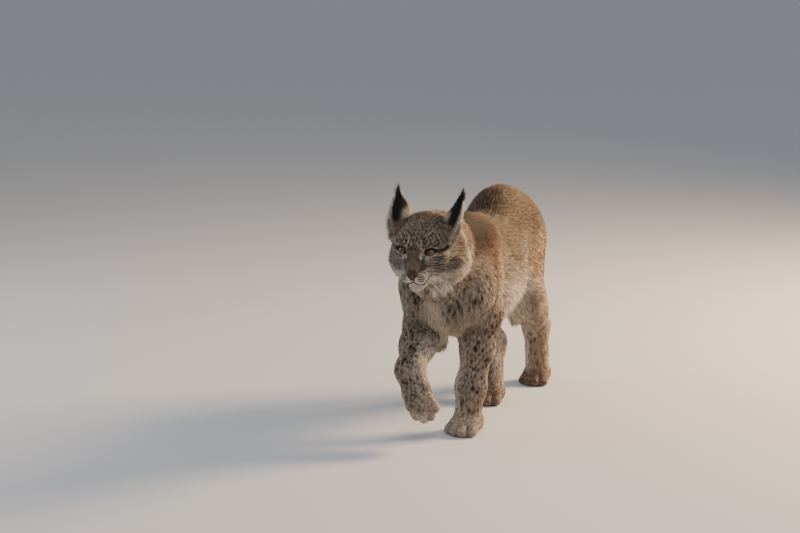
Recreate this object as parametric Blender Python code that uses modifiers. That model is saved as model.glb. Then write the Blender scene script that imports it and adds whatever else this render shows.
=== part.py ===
"""A Eurasian lynx in its winter coat, life size, walking with its right forepaw lifted.

Metres, +Z up, the animal faces -Y and its left is +X. The solids are the outer surface of the coat.
The body is one blended form made from named muscle and bone masses, parted by thin cuts.
"""

import math

import bmesh
import bpy
import numpy as np
from mathutils import Matrix, Vector

# Driving dimensions
GAP = 0.0003
CUT = 0.0004
BODY_VOXEL = 0.0065
HEAD_VOXEL = 0.0026
BODY_TRIANGLES = 6400
HEAD_TRIANGLES = 2800
HEAD_SCALE = 1.09
HEAD_PITCH_DEG = 19.0
HEAD_YAW_DEG = 2.5
HEAD_ROLL_DEG = 2.0
HEAD_CENTRE = Vector((0.008, -0.492, 0.580))
TRUNK_X = 0.012
EYE_RADIUS = 0.0140
EYE_PLACE = Vector((0.0355, -0.0590, 0.0030))
EAR_BASE = Vector((0.0590, 0.0120, 0.0350))
EAR_TIP = Vector((0.0830, 0.0640, 0.0930))
EAR_TUFT_TIP = Vector((0.0715, 0.0820, 0.1140))
EAR_WIDE = 0.0300

# Joint places of the walking pose
SHOULDER_LEFT = Vector((0.076, -0.300, 0.430))
ELBOW_LEFT = Vector((0.074, -0.212, 0.335))
WRIST_LEFT = Vector((0.054, -0.262, 0.130))
PAW_LEFT = Vector((0.049, -0.286, 0.0245))
SHOULDER_RIGHT = Vector((-0.072, -0.335, 0.430))
ELBOW_RIGHT = Vector((-0.080, -0.288, 0.300))
WRIST_RIGHT = Vector((-0.052, -0.455, 0.212))
PAW_RIGHT = Vector((-0.017, -0.478, 0.137))
HIP_LEFT = Vector((0.056, 0.175, 0.500))
KNEE_LEFT = Vector((0.090, 0.115, 0.335))
HOCK_LEFT = Vector((0.058, 0.315, 0.195))
TOE_LEFT = Vector((0.050, 0.345, 0.0240))
HIP_RIGHT = Vector((-0.040, 0.160, 0.500))
KNEE_RIGHT = Vector((-0.066, 0.022, 0.345))
HOCK_RIGHT = Vector((-0.026, 0.140, 0.168))
TOE_RIGHT = Vector((-0.004, 0.062, 0.0240))

FUR_DARK = (0.24, 0.16, 0.10, 1.0)
FUR_TAWNY = (0.36, 0.24, 0.15, 1.0)
FUR_PALE = (0.55, 0.47, 0.38, 1.0)
FUR_BLACK = (0.02, 0.017, 0.015, 1.0)
EYE_AMBER = (0.45, 0.27, 0.10, 1.0)


class Mass:
    """A tapered capsule from a to b, wider or taller than round, that blends into what is there already."""

    def __init__(self, a, b, ra, rb, wide=1.0, tall=1.0, blend=0.03, frame=None):
        self.a, self.b = Vector(a), Vector(b)
        self.ra, self.rb = ra, rb
        self.scale = Vector((wide, 1.0, tall))
        self.blend = blend
        self.frame = frame or Matrix.Identity(4)

    def distance(self, points):
        """About how far the points lie outside this mass."""
        inverse = np.array(self.frame.inverted())
        scale = np.array(self.scale)
        local = (points @ inverse[:3, :3].T + inverse[:3, 3]) / scale
        start, end = np.array(self.a) / scale, np.array(self.b) / scale
        along = end - start
        length = max(float(along @ along), 1e-12)
        t = np.clip((local - start) @ along / length, 0.0, 1.0)
        away = local - start - t[:, None] * along
        reach = np.linalg.norm(away, axis=1) + 1e-9
        slope = np.linalg.norm(away / reach[:, None] / scale, axis=1)
        size = np.cbrt(np.linalg.det(inverse[:3, :3]))
        return (reach - self.ra - t * (self.rb - self.ra)) / slope / size

    def near(self, points):
        """Which points are close enough to be touched by this mass or its blend."""
        middle = np.array(self.frame @ ((self.a + self.b) / 2))
        size = self.frame.to_scale().x
        reach = (self.a - self.b).length / 2 + max(self.ra, self.rb) * max(self.scale)
        return np.linalg.norm(points - middle, axis=1) < reach * size + self.blend + 0.03

    def add_to(self, bm):
        """Plain stand-in shapes: a ball at each end and a cone between them."""
        scale = Matrix.Diagonal((*self.scale, 1.0))
        unscale = Matrix.Diagonal((1 / self.scale.x, 1, 1 / self.scale.z, 1))
        a, b = unscale @ self.a, unscale @ self.b
        place = self.frame @ scale
        for centre, radius in ((a, self.ra), (b, self.rb)):
            bmesh.ops.create_uvsphere(
                bm, u_segments=20, v_segments=14, radius=radius, matrix=place @ Matrix.Translation(centre)
            )
        along = b - a
        if along.length > 1e-5:
            turn = along.to_track_quat("Z", "Y").to_matrix().to_4x4()
            bmesh.ops.create_cone(
                bm, cap_ends=True, segments=20, radius1=self.ra, radius2=self.rb, depth=along.length,
                matrix=place @ Matrix.Translation((a + b) / 2) @ turn,
            )


def blended_distance(points, masses, hollows=()):
    """Smooth union of the masses, less the hollows."""
    total = np.full(len(points), 0.5)
    for mass in masses:
        here = np.nonzero(mass.near(points))[0]
        one, before = mass.distance(points[here]), total[here]
        mix = np.maximum(mass.blend - np.abs(before - one), 0.0)
        total[here] = np.minimum(before, one) - mix * mix / (4 * mass.blend)
    for hollow in hollows:
        here = np.nonzero(hollow.near(points))[0]
        one, before = -hollow.distance(points[here]), total[here]
        mix = np.maximum(hollow.blend - np.abs(before - one), 0.0)
        total[here] = np.maximum(before, one) + mix * mix / (4 * hollow.blend)
    return total


def settle(points, masses, hollows, rounds=5, step=0.0012):
    """Moves the points onto the blended surface along its slope."""
    corners = np.array([(1, -1, -1), (-1, -1, 1), (-1, 1, -1), (1, 1, 1)], float)
    for _ in range(rounds):
        slope = sum(
            blended_distance(points + step * corner, masses, hollows)[:, None] * corner for corner in corners
        )
        slope /= np.linalg.norm(slope, axis=1)[:, None] + 1e-12
        away = blended_distance(points, masses, hollows)
        points = points - np.clip(away, -0.012, 0.012)[:, None] * slope
    return points


def new_object(name, mesh, parts):
    obj = bpy.data.objects.new(name, mesh)
    parts.objects.link(obj)
    return obj


def apply_modifiers(obj):
    """Replaces the object's mesh with what its modifiers make of it."""
    bpy.context.view_layer.update()
    graph = bpy.context.evaluated_depsgraph_get()
    mesh = bpy.data.meshes.new_from_object(obj.evaluated_get(graph))
    obj.modifiers.clear()
    obj.data = mesh
    return obj


def remeshed(obj, voxel):
    """One even closed skin round all the shapes in the object."""
    modifier = obj.modifiers.new("skin", "REMESH")
    modifier.mode = "VOXEL"
    modifier.voxel_size = voxel
    modifier.adaptivity = 0.0
    return apply_modifiers(obj)


def moulded(name, masses, hollows, voxel, triangles, parts):
    """A closed mesh of the blended masses, with about that many triangles."""
    bm = bmesh.new()
    for mass in masses:
        mass.add_to(bm)
    mesh = bpy.data.meshes.new(name)
    bm.to_mesh(mesh)
    bm.free()
    obj = new_object(name, mesh, parts)
    for rounds in (3, 5):
        remeshed(obj, voxel)
        count = len(obj.data.vertices)
        points = np.empty(count * 3)
        obj.data.vertices.foreach_get("co", points)
        points = settle(points.reshape(-1, 3), masses, hollows, rounds)
        obj.data.vertices.foreach_set("co", points.ravel())
        obj.data.update()
    thin = obj.modifiers.new("thin", "DECIMATE")
    thin.ratio = triangles / (2 * len(obj.data.polygons))
    thin.use_collapse_triangulate = True
    return apply_modifiers(obj)


def paw_masses(ball, forward, up, size, blend=0.022):
    """A broad furry paw: the pad, four toes and the wrist's fur. Forward is the way the toes point."""
    forward = forward.normalized()
    side = up.cross(forward).normalized()
    up = forward.cross(side).normalized()
    frame = Matrix.Translation(ball) @ Matrix((side, -forward, up)).transposed().to_4x4()
    masses = [
        Mass((0, 0.022 * size, 0.002), (0, -0.006, 0.000), 0.036 * size, 0.035 * size, 1.08, 0.86, blend, frame)
    ]
    for across, reach in ((-0.0330, 0.034), (-0.0115, 0.049), (0.0115, 0.050), (0.0330, 0.036)):
        masses.append(
            Mass(
                (across * 0.8 * size, -0.006, 0.004), (across * size, -reach * size, -0.0105),
                0.0185 * size, 0.0168 * size, 0.94, 1.0, 0.007, frame,
            )
        )
    return masses


def limb_masses(joints, radii, wide, blend):
    """Tapered lengths from joint to joint."""
    return [
        Mass(a, b, ra, rb, wide, 1.0, blend)
        for a, b, ra, rb in zip(joints, joints[1:], radii, radii[1:])
    ]


def trunk_masses():
    x = TRUNK_X
    return [
        Mass((x, -0.235, 0.462), (x, 0.000, 0.462), 0.126, 0.122, 0.80, 1.0, 0.05),
        Mass((x, -0.245, 0.545), (x, -0.130, 0.535), 0.070, 0.064, 0.90, 1.0, 0.05),
        Mass((x, -0.325, 0.385), (x, -0.130, 0.362), 0.088, 0.080, 0.92, 1.0, 0.05),
        Mass((x, 0.000, 0.485), (x, 0.140, 0.530), 0.112, 0.112, 0.86, 1.0, 0.05),
        Mass((x, -0.070, 0.390), (x, 0.100, 0.378), 0.098, 0.094, 0.92, 1.0, 0.05),
        Mass((x - 0.004, 0.095, 0.545), (x - 0.004, 0.210, 0.508), 0.108, 0.094, 0.78, 1.0, 0.05),
        Mass((x - 0.002, 0.210, 0.510), (x - 0.002, 0.272, 0.500), 0.074, 0.054, 0.95, 1.0, 0.05),
    ]


def neck_masses():
    x = TRUNK_X
    head = HEAD_CENTRE
    return [
        Mass((x, -0.270, 0.498), head + Vector((0, 0.085, -0.040)), 0.120, 0.092, 0.86, 1.0, 0.05),
        Mass((x, -0.320, 0.430), head + Vector((0, 0.050, -0.080)), 0.094, 0.072, 0.92, 1.0, 0.05),
    ]


def foreleg_masses():
    masses = []
    for shoulder, elbow, side in ((SHOULDER_LEFT, ELBOW_LEFT, 1), (SHOULDER_RIGHT, ELBOW_RIGHT, -1)):
        blade = Vector((TRUNK_X + side * 0.048, shoulder.y + 0.105, 0.535))
        masses += [
            Mass(shoulder + Vector((-side * 0.012, 0, -0.012)), blade, 0.076, 0.058, 0.62, 1.0, 0.045),
            Mass(shoulder, elbow, 0.066, 0.052, 0.78, 1.0, 0.045),
            Mass(elbow + Vector((-side * 0.006, 0.004, 0.080)), elbow, 0.062, 0.050, 0.72, 1.0, 0.045),
        ]
    masses += limb_masses(
        (ELBOW_LEFT, ELBOW_LEFT.lerp(WRIST_LEFT, 0.45), WRIST_LEFT, PAW_LEFT + Vector((0, 0.012, 0.022))),
        (0.053, 0.0475, 0.0410, 0.0400), 0.97, 0.03,
    )
    masses += limb_masses(
        (ELBOW_RIGHT, ELBOW_RIGHT.lerp(WRIST_RIGHT, 0.45), WRIST_RIGHT, PAW_RIGHT),
        (0.055, 0.0480, 0.0385, 0.0370), 0.97, 0.03,
    )
    return masses


def hindleg_masses():
    masses = []
    for hip, knee, hock, toe, side in (
        (HIP_LEFT, KNEE_LEFT, HOCK_LEFT, TOE_LEFT, 1), (HIP_RIGHT, KNEE_RIGHT, HOCK_RIGHT, TOE_RIGHT, -1)
    ):
        seat = hip + Vector((-side * 0.004, 0.066, -0.030))
        masses += [
            Mass(hip + Vector((-side * 0.012, 0, -0.006)), knee, 0.098, 0.062, 0.64, 1.0, 0.045),
            Mass(seat, knee.lerp(hock, 0.25) + Vector((0, 0.020, 0.020)), 0.070, 0.050, 0.70, 1.0, 0.045),
        ]
        masses += limb_masses(
            (knee, knee.lerp(hock, 0.5), hock, toe + Vector((0, 0.010, 0.020))),
            (0.062, 0.052, 0.0420, 0.0400), 0.90, 0.03,
        )
    return masses


def tail_masses():
    x = TRUNK_X
    joints = [
        Vector((x, 0.270, 0.515)), Vector((x, 0.308, 0.475)), Vector((x + 0.002, 0.330, 0.420)),
        Vector((x + 0.004, 0.337, 0.370)),
    ]
    return limb_masses(joints, (0.046, 0.037, 0.033, 0.030), 1.0, 0.02)


def paws():
    down = (PAW_RIGHT - WRIST_RIGHT).normalized()
    return (
        paw_masses(PAW_LEFT, Vector((-0.10, -1, 0)), Vector((0, 0, 1)), 1.05)
        + paw_masses(PAW_RIGHT, down, Vector((-0.25, -1, 0)), 1.02)
        + paw_masses(TOE_LEFT, Vector((0.02, -1, 0)), Vector((0, 0, 1)), 0.98)
        + paw_masses(TOE_RIGHT, Vector((-0.02, -1, 0)), Vector((0, 0, 1)), 0.98)
    )


def body_masses():
    return trunk_masses() + neck_masses() + skull_masses() + foreleg_masses() + hindleg_masses() + tail_masses() + paws()


def head_frame():
    """Places the head's own frame, in which the nose points to -Y, in the model."""
    turn = (
        Matrix.Rotation(math.radians(HEAD_YAW_DEG), 4, "Z")
        @ Matrix.Rotation(math.radians(HEAD_PITCH_DEG), 4, "X")
        @ Matrix.Rotation(math.radians(HEAD_ROLL_DEG), 4, "Y")
    )
    return Matrix.Translation(HEAD_CENTRE) @ turn @ Matrix.Scale(HEAD_SCALE, 4)


def head_mass(a, b, ra, rb, wide=1.0, tall=1.0, blend=0.016):
    return Mass(a, b, ra, rb, wide, tall, blend, head_frame())


def skull_masses():
    """The big forms of the head, which the neck blends into."""
    masses = [
        head_mass((0, 0.020, 0.000), (0, -0.030, 0.002), 0.062, 0.057, 1.12),
        head_mass((0, 0.026, -0.016), (0, 0.085, -0.046), 0.066, 0.076, 1.08, 1.0, 0.03),
        head_mass((0, 0.000, -0.050), (0, 0.060, -0.075), 0.056, 0.066, 1.15, 1.0, 0.03),
    ]
    for side in (-1, 1):
        masses += [
            head_mass((side * 0.046, -0.034, -0.022), (side * 0.050, 0.020, -0.022), 0.030, 0.044, 0.82),
            head_mass((side * 0.030, -0.050, -0.046), (side * 0.052, -0.005, -0.058), 0.026, 0.036, 0.95),
            head_mass((side * 0.058, -0.002, -0.046), (side * 0.066, 0.030, -0.066), 0.034, 0.034, 0.9, 1.0, 0.024),
        ]
    return masses


def face_masses():
    masses = [
        head_mass((0, -0.036, 0.012), (0, -0.058, -0.001), 0.040, 0.031, 1.25, 1.0, 0.028),
        head_mass((0, -0.056, -0.004), (0, -0.098, -0.0265), 0.0245, 0.0170, 0.95),
        head_mass((0, -0.093, -0.0270), (0, -0.1045, -0.0330), 0.0150, 0.0125, 1.12, 1.0, 0.008),
        head_mass((0, -0.030, -0.064), (0, -0.085, -0.0775), 0.033, 0.0175, 1.10),
    ]
    for side in (-1, 1):
        masses += [
            head_mass((side * 0.024, -0.060, 0.0200), (side * 0.047, -0.044, 0.0190), 0.0140, 0.0150, 1, 1, 0.012),
            head_mass((side * 0.0165, -0.072, -0.0440), (side * 0.0155, -0.0960, -0.0480), 0.0235, 0.0190, 1, 1, 0.009),
        ]
    return masses


def eye_centre(side):
    return head_frame() @ Vector((side * EYE_PLACE.x, EYE_PLACE.y, EYE_PLACE.z))


def head_hollows():
    """The shallow sockets round the eyes and the stops beside the bridge of the nose."""
    frame = head_frame()
    return [
        Mass((side * 0.0350, -0.0820, 0.0030), (side * 0.0365, -0.0815, 0.0030), 0.0150, 0.0150, 1, 0.85, 0.010, frame)
        for side in (-1, 1)
    ]


def cut_slab(name, point, normal, size, helpers):
    """A thin box whose thickness is the cut."""
    bm = bmesh.new()
    bmesh.ops.create_cube(bm, size=1.0)
    turn = Vector(normal).to_track_quat("Z", "Y").to_matrix().to_4x4()
    shape = Matrix.Diagonal((size[0], size[1], CUT, 1.0))
    bmesh.ops.transform(bm, matrix=Matrix.Translation(point) @ turn @ shape, verts=bm.verts)
    mesh = bpy.data.meshes.new(name)
    bm.to_mesh(mesh)
    bm.free()
    slab = bpy.data.objects.new(name, mesh)
    slab.hide_render = True
    slab.display_type = "WIRE"
    helpers.objects.link(slab)
    return slab


def boolean(obj, collection, operation):
    """Joins or cuts with every object of the collection at once, then removes those."""
    modifier = obj.modifiers.new(operation.lower(), "BOOLEAN")
    modifier.operation = operation
    modifier.operand_type = "COLLECTION"
    modifier.collection = collection
    modifier.solver = "MANIFOLD"
    apply_modifiers(obj)
    for other in list(collection.objects):
        bpy.data.objects.remove(other)


def helper(name, bm, helpers):
    """Ends a helper shape: outward faces, hidden, drawn as wires."""
    bmesh.ops.recalc_face_normals(bm, faces=bm.faces)
    mesh = bpy.data.meshes.new(name)
    bm.to_mesh(mesh)
    bm.free()
    obj = bpy.data.objects.new(name, mesh)
    obj.hide_render = True
    obj.display_type = "WIRE"
    helpers.objects.link(obj)
    return obj


def lofted(rings, tip=None, tail=None):
    """A closed shape through rings of points, ended by a point or a flat cap."""
    bm = bmesh.new()
    rows = [[bm.verts.new(point) for point in ring] for ring in rings]
    count = len(rows[0])
    for low, high in zip(rows, rows[1:]):
        for i in range(count):
            j = (i + 1) % count
            bm.faces.new((low[i], low[j], high[j], high[i]))
    for end, row in ((tail, rows[0]), (tip, rows[-1])):
        if end is None:
            bm.faces.new(row)
            continue
        point = bm.verts.new(end)
        for i in range(count):
            bm.faces.new((row[i], row[(i + 1) % count], point))
    bmesh.ops.recalc_face_normals(bm, faces=bm.faces)
    bmesh.ops.triangulate(bm, faces=bm.faces[:])
    return bm


def lock(name, root, tip, bend, width, depth, out, helpers, rings=3):
    """One flat tapered lock from the root inside the node to its point, bent and facing out."""
    root, tip, bend, out = Vector(root), Vector(tip), Vector(bend), Vector(out)
    loops = []
    for i in range(rings):
        t = i / rings
        middle = root.lerp(tip, t) + bend * (4 * t * (1 - t))
        ahead = (tip - root + bend * (4 - 8 * t)).normalized()
        side = ahead.cross(out).normalized()
        face = side.cross(ahead).normalized()
        size = (0.80 + 0.55 * t) * (1 - t) ** 0.5
        loops.append(
            [middle + side * width * size, middle + face * depth * size, middle - side * width * size,
             middle - face * depth * size]
        )
    return helper(name, lofted(loops, tip=tip), helpers)


def tube(name, path, radius, helpers, sides=6, closed=False):
    """A thin round cord along the path, its ends closed unless it meets itself."""
    path = [Vector(point) for point in path]
    bm = bmesh.new()
    rows = []
    for i, point in enumerate(path):
        before = path[i - 1] if i or closed else point
        after = path[(i + 1) % len(path)] if i + 1 < len(path) or closed else point
        along = (after - before).normalized()
        side = along.cross(Vector((0.13, -0.20, 0.97))).normalized()
        up = side.cross(along).normalized()
        rows.append(
            [
                bm.verts.new(
                    point + (side * math.cos(turn) + up * math.sin(turn)) * radius
                )
                for turn in (math.tau * k / sides for k in range(sides))
            ]
        )
    pairs = list(zip(rows, rows[1:]))
    if closed:
        pairs.append((rows[-1], rows[0]))
    for low, high in pairs:
        for i in range(sides):
            j = (i + 1) % sides
            bm.faces.new((low[i], low[j], high[j], high[i]))
    if not closed:
        bm.faces.new(rows[0])
        bm.faces.new(rows[-1])
    return helper(name, bm, helpers)


def ball(name, centre, radius, helpers, segments=16, rings=10):
    bm = bmesh.new()
    bmesh.ops.create_uvsphere(
        bm, u_segments=segments, v_segments=rings, radius=radius, matrix=Matrix.Translation(centre)
    )
    return helper(name, bm, helpers)


def slice_below(obj, point, normal):
    """Removes what lies on the side that the normal points to, and closes the cut flat."""
    bm = bmesh.new()
    bm.from_mesh(obj.data)
    cut = bmesh.ops.bisect_plane(
        bm, geom=bm.verts[:] + bm.edges[:] + bm.faces[:], plane_co=point, plane_no=normal, clear_outer=True
    )
    rim = [item for item in cut["geom_cut"] if isinstance(item, bmesh.types.BMEdge)]
    bmesh.ops.edgenet_fill(bm, edges=rim)
    bmesh.ops.triangulate(bm, faces=bm.faces[:])
    bm.to_mesh(obj.data)
    bm.free()


def loose_parts(obj, parts):
    """The closed pieces of the object, each as its own object."""
    bm = bmesh.new()
    bm.from_mesh(obj.data)
    bm.verts.ensure_lookup_table()
    left = set(bm.verts)
    groups = []
    while left:
        seed = left.pop()
        group, edge = {seed}, [seed]
        while edge:
            for link in edge.pop().link_edges:
                for vert in link.verts:
                    if vert in left:
                        left.discard(vert)
                        group.add(vert)
                        edge.append(vert)
        groups.append(group)
    made = []
    for number, group in enumerate(sorted(groups, key=len, reverse=True)):
        piece = bmesh.new()
        copies = {vert: piece.verts.new(vert.co) for vert in group}
        for face in bm.faces:
            if face.verts[0] in group:
                piece.faces.new([copies[vert] for vert in face.verts])
        bmesh.ops.recalc_face_normals(piece, faces=piece.faces)
        mesh = bpy.data.meshes.new(f"piece_{number}")
        piece.to_mesh(mesh)
        piece.free()
        made.append(new_object(f"piece_{number}", mesh, parts))
    bm.free()
    bpy.data.objects.remove(obj)
    return made


def middle_of(obj):
    points = np.empty(len(obj.data.vertices) * 3)
    obj.data.vertices.foreach_get("co", points)
    points = points.reshape(-1, 3)
    return Vector((points.min(0) + points.max(0)) / 2)


def neck_plane():
    """Where the head meets the neck, and the way to the head."""
    frame = head_frame()
    point = frame @ Vector((0, 0.052, 0))
    return point, Vector((0, -1, 0.02)).normalized()


def cut_slabs(helpers):
    """The joints where a person would name a new part of the body."""
    slabs = [
        ("neck_root", (TRUNK_X, -0.345, 0.475), (0, -0.82, 0.57), (0.30, 0.50)),
        ("tail_root", (TRUNK_X, 0.335, 0.447), (0, 0.85, -0.53), (0.14, 0.17)),
        ("elbow_left", ELBOW_LEFT.lerp(WRIST_LEFT, 0.36), WRIST_LEFT - ELBOW_LEFT, (0.14, 0.14)),
        ("elbow_right", ELBOW_RIGHT.lerp(WRIST_RIGHT, 0.55), WRIST_RIGHT - ELBOW_RIGHT, (0.13, 0.13)),
        ("wrist_left", PAW_LEFT + Vector((0, 0.012, 0.046)), (0, 0.10, 1), (0.13, 0.15)),
        ("wrist_right", WRIST_RIGHT.lerp(PAW_RIGHT, 0.42), PAW_RIGHT - WRIST_RIGHT, (0.13, 0.13)),
        ("knee_left", KNEE_LEFT.lerp(HOCK_LEFT, 0.52), HOCK_LEFT - KNEE_LEFT, (0.14, 0.20)),
        ("knee_right", KNEE_RIGHT.lerp(HOCK_RIGHT, 0.60), HOCK_RIGHT - KNEE_RIGHT, (0.13, 0.13)),
        ("heel_left", TOE_LEFT + Vector((0, 0.010, 0.044)), (0, 0.05, 1), (0.13, 0.15)),
        ("heel_right", TOE_RIGHT + Vector((0, 0.018, 0.042)), (0, -0.25, 1), (0.105, 0.15)),
    ]
    for name, point, normal, size in slabs:
        cut_slab("cut_" + name, Vector(point), normal, size, helpers)


def body_anchors():
    """A point near the middle of each part of the parted body."""
    return {
        "head_core": HEAD_CENTRE + Vector((0, -0.02, -0.01)),
        "torso": Vector((TRUNK_X, -0.03, 0.43)),
        "neck": HEAD_CENTRE + Vector((0, 0.12, -0.09)),
        "tail": Vector((TRUNK_X, 0.335, 0.40)),
        "foreleg_left": ELBOW_LEFT.lerp(WRIST_LEFT, 0.7),
        "foreleg_right": ELBOW_RIGHT.lerp(WRIST_RIGHT, 0.6),
        "forepaw_left": PAW_LEFT,
        "forepaw_right": PAW_RIGHT,
        "hindleg_left": KNEE_LEFT.lerp(HOCK_LEFT, 1.0),
        "hindleg_right": KNEE_RIGHT.lerp(HOCK_RIGHT, 0.8),
        "hindpaw_left": TOE_LEFT,
        "hindpaw_right": TOE_RIGHT,
    }


def add_fringe(helpers):
    """Long winter hair hangs under the belly, behind the elbows and between the forelegs."""
    x = TRUNK_X
    rows = [
        ("belly_right", (x - 0.034, -0.080, 0.302), (x - 0.030, 0.110, 0.296), 7, (-0.10, 0.35, -1.0), 0.040),
        ("belly_left", (x + 0.036, -0.095, 0.304), (x + 0.040, 0.120, 0.296), 8, (0.10, 0.35, -1.0), 0.044),
        ("chest", (x - 0.050, -0.325, 0.305), (x + 0.022, -0.255, 0.292), 5, (0.05, 0.30, -1.0), 0.036),
        ("elbow", (-0.078, -0.315, 0.270), (-0.046, -0.232, 0.282), 5, (0.20, 0.20, -1.0), 0.070),
        ("armpit", (-0.050, -0.290, 0.300), (-0.030, -0.215, 0.290), 4, (0.15, 0.25, -1.0), 0.060),
    ]
    for name, start, end, count, way, length in rows:
        way = Vector(way).normalized()
        for k in range(count):
            root = Vector(start).lerp(Vector(end), k / (count - 1))
            reach = length * (1.0 + 0.2 * math.sin(2.3 * k + len(name)))
            lock(
                f"{name}_{k}", root - way * 0.024, root + way * reach, Vector((0, 0.005, 0)), 0.0190, 0.0085,
                Vector((1, 0, 0)), helpers,
            )


def part_body(parts, helpers):
    body = moulded("body", body_masses(), (), BODY_VOXEL, BODY_TRIANGLES, parts)
    add_fringe(helpers)
    boolean(body, helpers, "UNION")
    slice_below(body, Vector((0, 0, 0)), Vector((0, 0, -1)))
    point, ahead = neck_plane()
    cut_slab("cut_nape", point - ahead * (GAP + CUT / 2), ahead, (0.34, 0.50), helpers)
    cut_slabs(helpers)
    boolean(body, helpers, "DIFFERENCE")
    pieces = loose_parts(body, parts)
    for name, anchor in body_anchors().items():
        if not pieces:
            break
        nearest = min(pieces, key=lambda piece: (middle_of(piece) - anchor).length)
        nearest.name = name
        pieces.remove(nearest)
    pieces.append(bpy.data.objects["head_core"])
    for scrap in pieces:
        bpy.data.objects.remove(scrap)


def largest(obj, parts):
    """Keeps only the object's largest closed surface, under its name."""
    name = obj.name
    pieces = loose_parts(obj, parts)
    for scrap in pieces[1:]:
        bpy.data.objects.remove(scrap)
    pieces[0].name = name
    pieces[0].data.name = name
    return pieces[0]


def on_face(points):
    """Moves points of the head's own frame onto its surface, in the model's frame."""
    frame = head_frame()
    points = np.array([frame @ Vector(point) for point in points])
    return settle(points, skull_masses() + face_masses(), head_hollows(), 6)


def add_lids(helpers):
    """The rims of the lids lie round each ball as an almond, lower at its inner corner."""
    frame = head_frame()
    for side in (-1, 1):
        centre = eye_centre(side)
        look = (frame.to_3x3() @ Vector((side * 0.20, -1.0, 0.02))).normalized()
        across = (frame.to_3x3() @ Vector((side * 1.0, 0.20, 0.0))).normalized()
        up = across.cross(look) * side
        if up.z < 0:
            up = -up
        path = []
        for k in range(18):
            turn = math.tau * k / 18
            wide = 0.0122 * math.cos(turn)
            tall = 0.0070 * math.sin(turn) * (1.0 + 0.12 * math.cos(turn)) + 0.0016 * math.cos(turn)
            away = (across * wide + up * tall) / EYE_RADIUS
            ray = (look * math.sqrt(max(1 - away.length_squared, 0.05)) + away).normalized()
            path.append(centre + ray * (EYE_RADIUS + 0.0009))
        tube(f"lid_{side}", path, 0.0024, helpers, 6, True)


def add_ruff(helpers):
    """Rows of long locks down each cheek, from behind the ear to under the chin."""
    frame = head_frame()
    stops = [
        ((0.074, 0.030, 0.014), (0.38, 0.70, -0.60)), ((0.084, 0.020, -0.012), (0.34, 0.50, -0.78)),
        ((0.088, 0.012, -0.040), (0.32, 0.30, -0.88)), ((0.078, 0.000, -0.070), (0.26, 0.20, -0.94)),
        ((0.056, -0.018, -0.096), (0.16, 0.12, -0.98)), ((0.026, -0.030, -0.104), (0.06, 0.08, -1.00)),
    ]
    for side in (-1, 1):
        for row, (inset, count, length) in enumerate(((0.0, 10, 0.042), (0.022, 9, 0.036))):
            for k in range(count):
                at = (len(stops) - 1) * (k + 0.5 * row) / (count - 0.5)
                i = min(int(at), len(stops) - 2)
                root = Vector(stops[i][0]).lerp(Vector(stops[i + 1][0]), at - i)
                way = Vector(stops[i][1]).lerp(Vector(stops[i + 1][1]), at - i)
                root = Vector((side * (root.x - 0.3 * inset), root.y - inset, root.z + 0.2 * inset))
                way = frame.to_3x3() @ Vector((side * way.x, way.y, way.z)).normalized()
                reach = length * (1.0 + 0.18 * math.sin(2.4 * k + 1.3 * row))
                start = Vector(on_face([root])[0])
                bend = frame.to_3x3() @ Vector((side * 0.006, -0.002, 0.001))
                out = frame.to_3x3() @ Vector((side * 0.75, -0.60, 0.1))
                lock(
                    f"ruff_{side}_{row}_{k}", start - way * 0.016 - out * 0.004, start + way * reach, bend, 0.0135,
                    0.0060, out, helpers,
                )


def make_head(parts, helpers):
    masses = skull_masses() + neck_masses() + face_masses()
    head = moulded("head", masses, head_hollows(), HEAD_VOXEL, HEAD_TRIANGLES, parts)
    point, ahead = neck_plane()
    add_ruff(helpers)
    add_lids(helpers)
    boolean(head, helpers, "UNION")
    slice_below(head, point, -ahead)
    for side in (-1, 1):
        ball(f"socket_{side}", eye_centre(side), EYE_RADIUS + GAP, helpers, 20, 14)
    lip = [(0.038, -0.058, -0.060), (0.030, -0.076, -0.0655), (0.018, -0.098, -0.0660), (0.008, -0.106, -0.0640)]
    line = [(-x, y, z) for x, y, z in lip] + [(0, -0.107, -0.0615)] + lip[::-1]
    tube("mouth", on_face(line), 0.0016, helpers, 5)
    tube("philtrum", on_face([(0, -0.116, -0.0470), (0, -0.112, -0.0540), (0, -0.108, -0.0625)]), 0.0011, helpers, 5)
    for side in (-1, 1):
        place = on_face([(side * 0.0062, -0.1180, -0.0350)])[0]
        ball(f"nostril_{side}", Vector(place), 0.0024, helpers, 8, 6)
    boolean(head, helpers, "DIFFERENCE")
    return largest(head, parts)


def make_eyes(parts):
    for name, side in (("eye_right", -1), ("eye_left", 1)):
        bm = bmesh.new()
        bmesh.ops.create_uvsphere(
            bm, u_segments=16, v_segments=10, radius=EYE_RADIUS, matrix=Matrix.Translation(eye_centre(side))
        )
        bmesh.ops.triangulate(bm, faces=bm.faces[:])
        mesh = bpy.data.meshes.new(name)
        bm.to_mesh(mesh)
        bm.free()
        new_object(name, mesh, parts)


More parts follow.
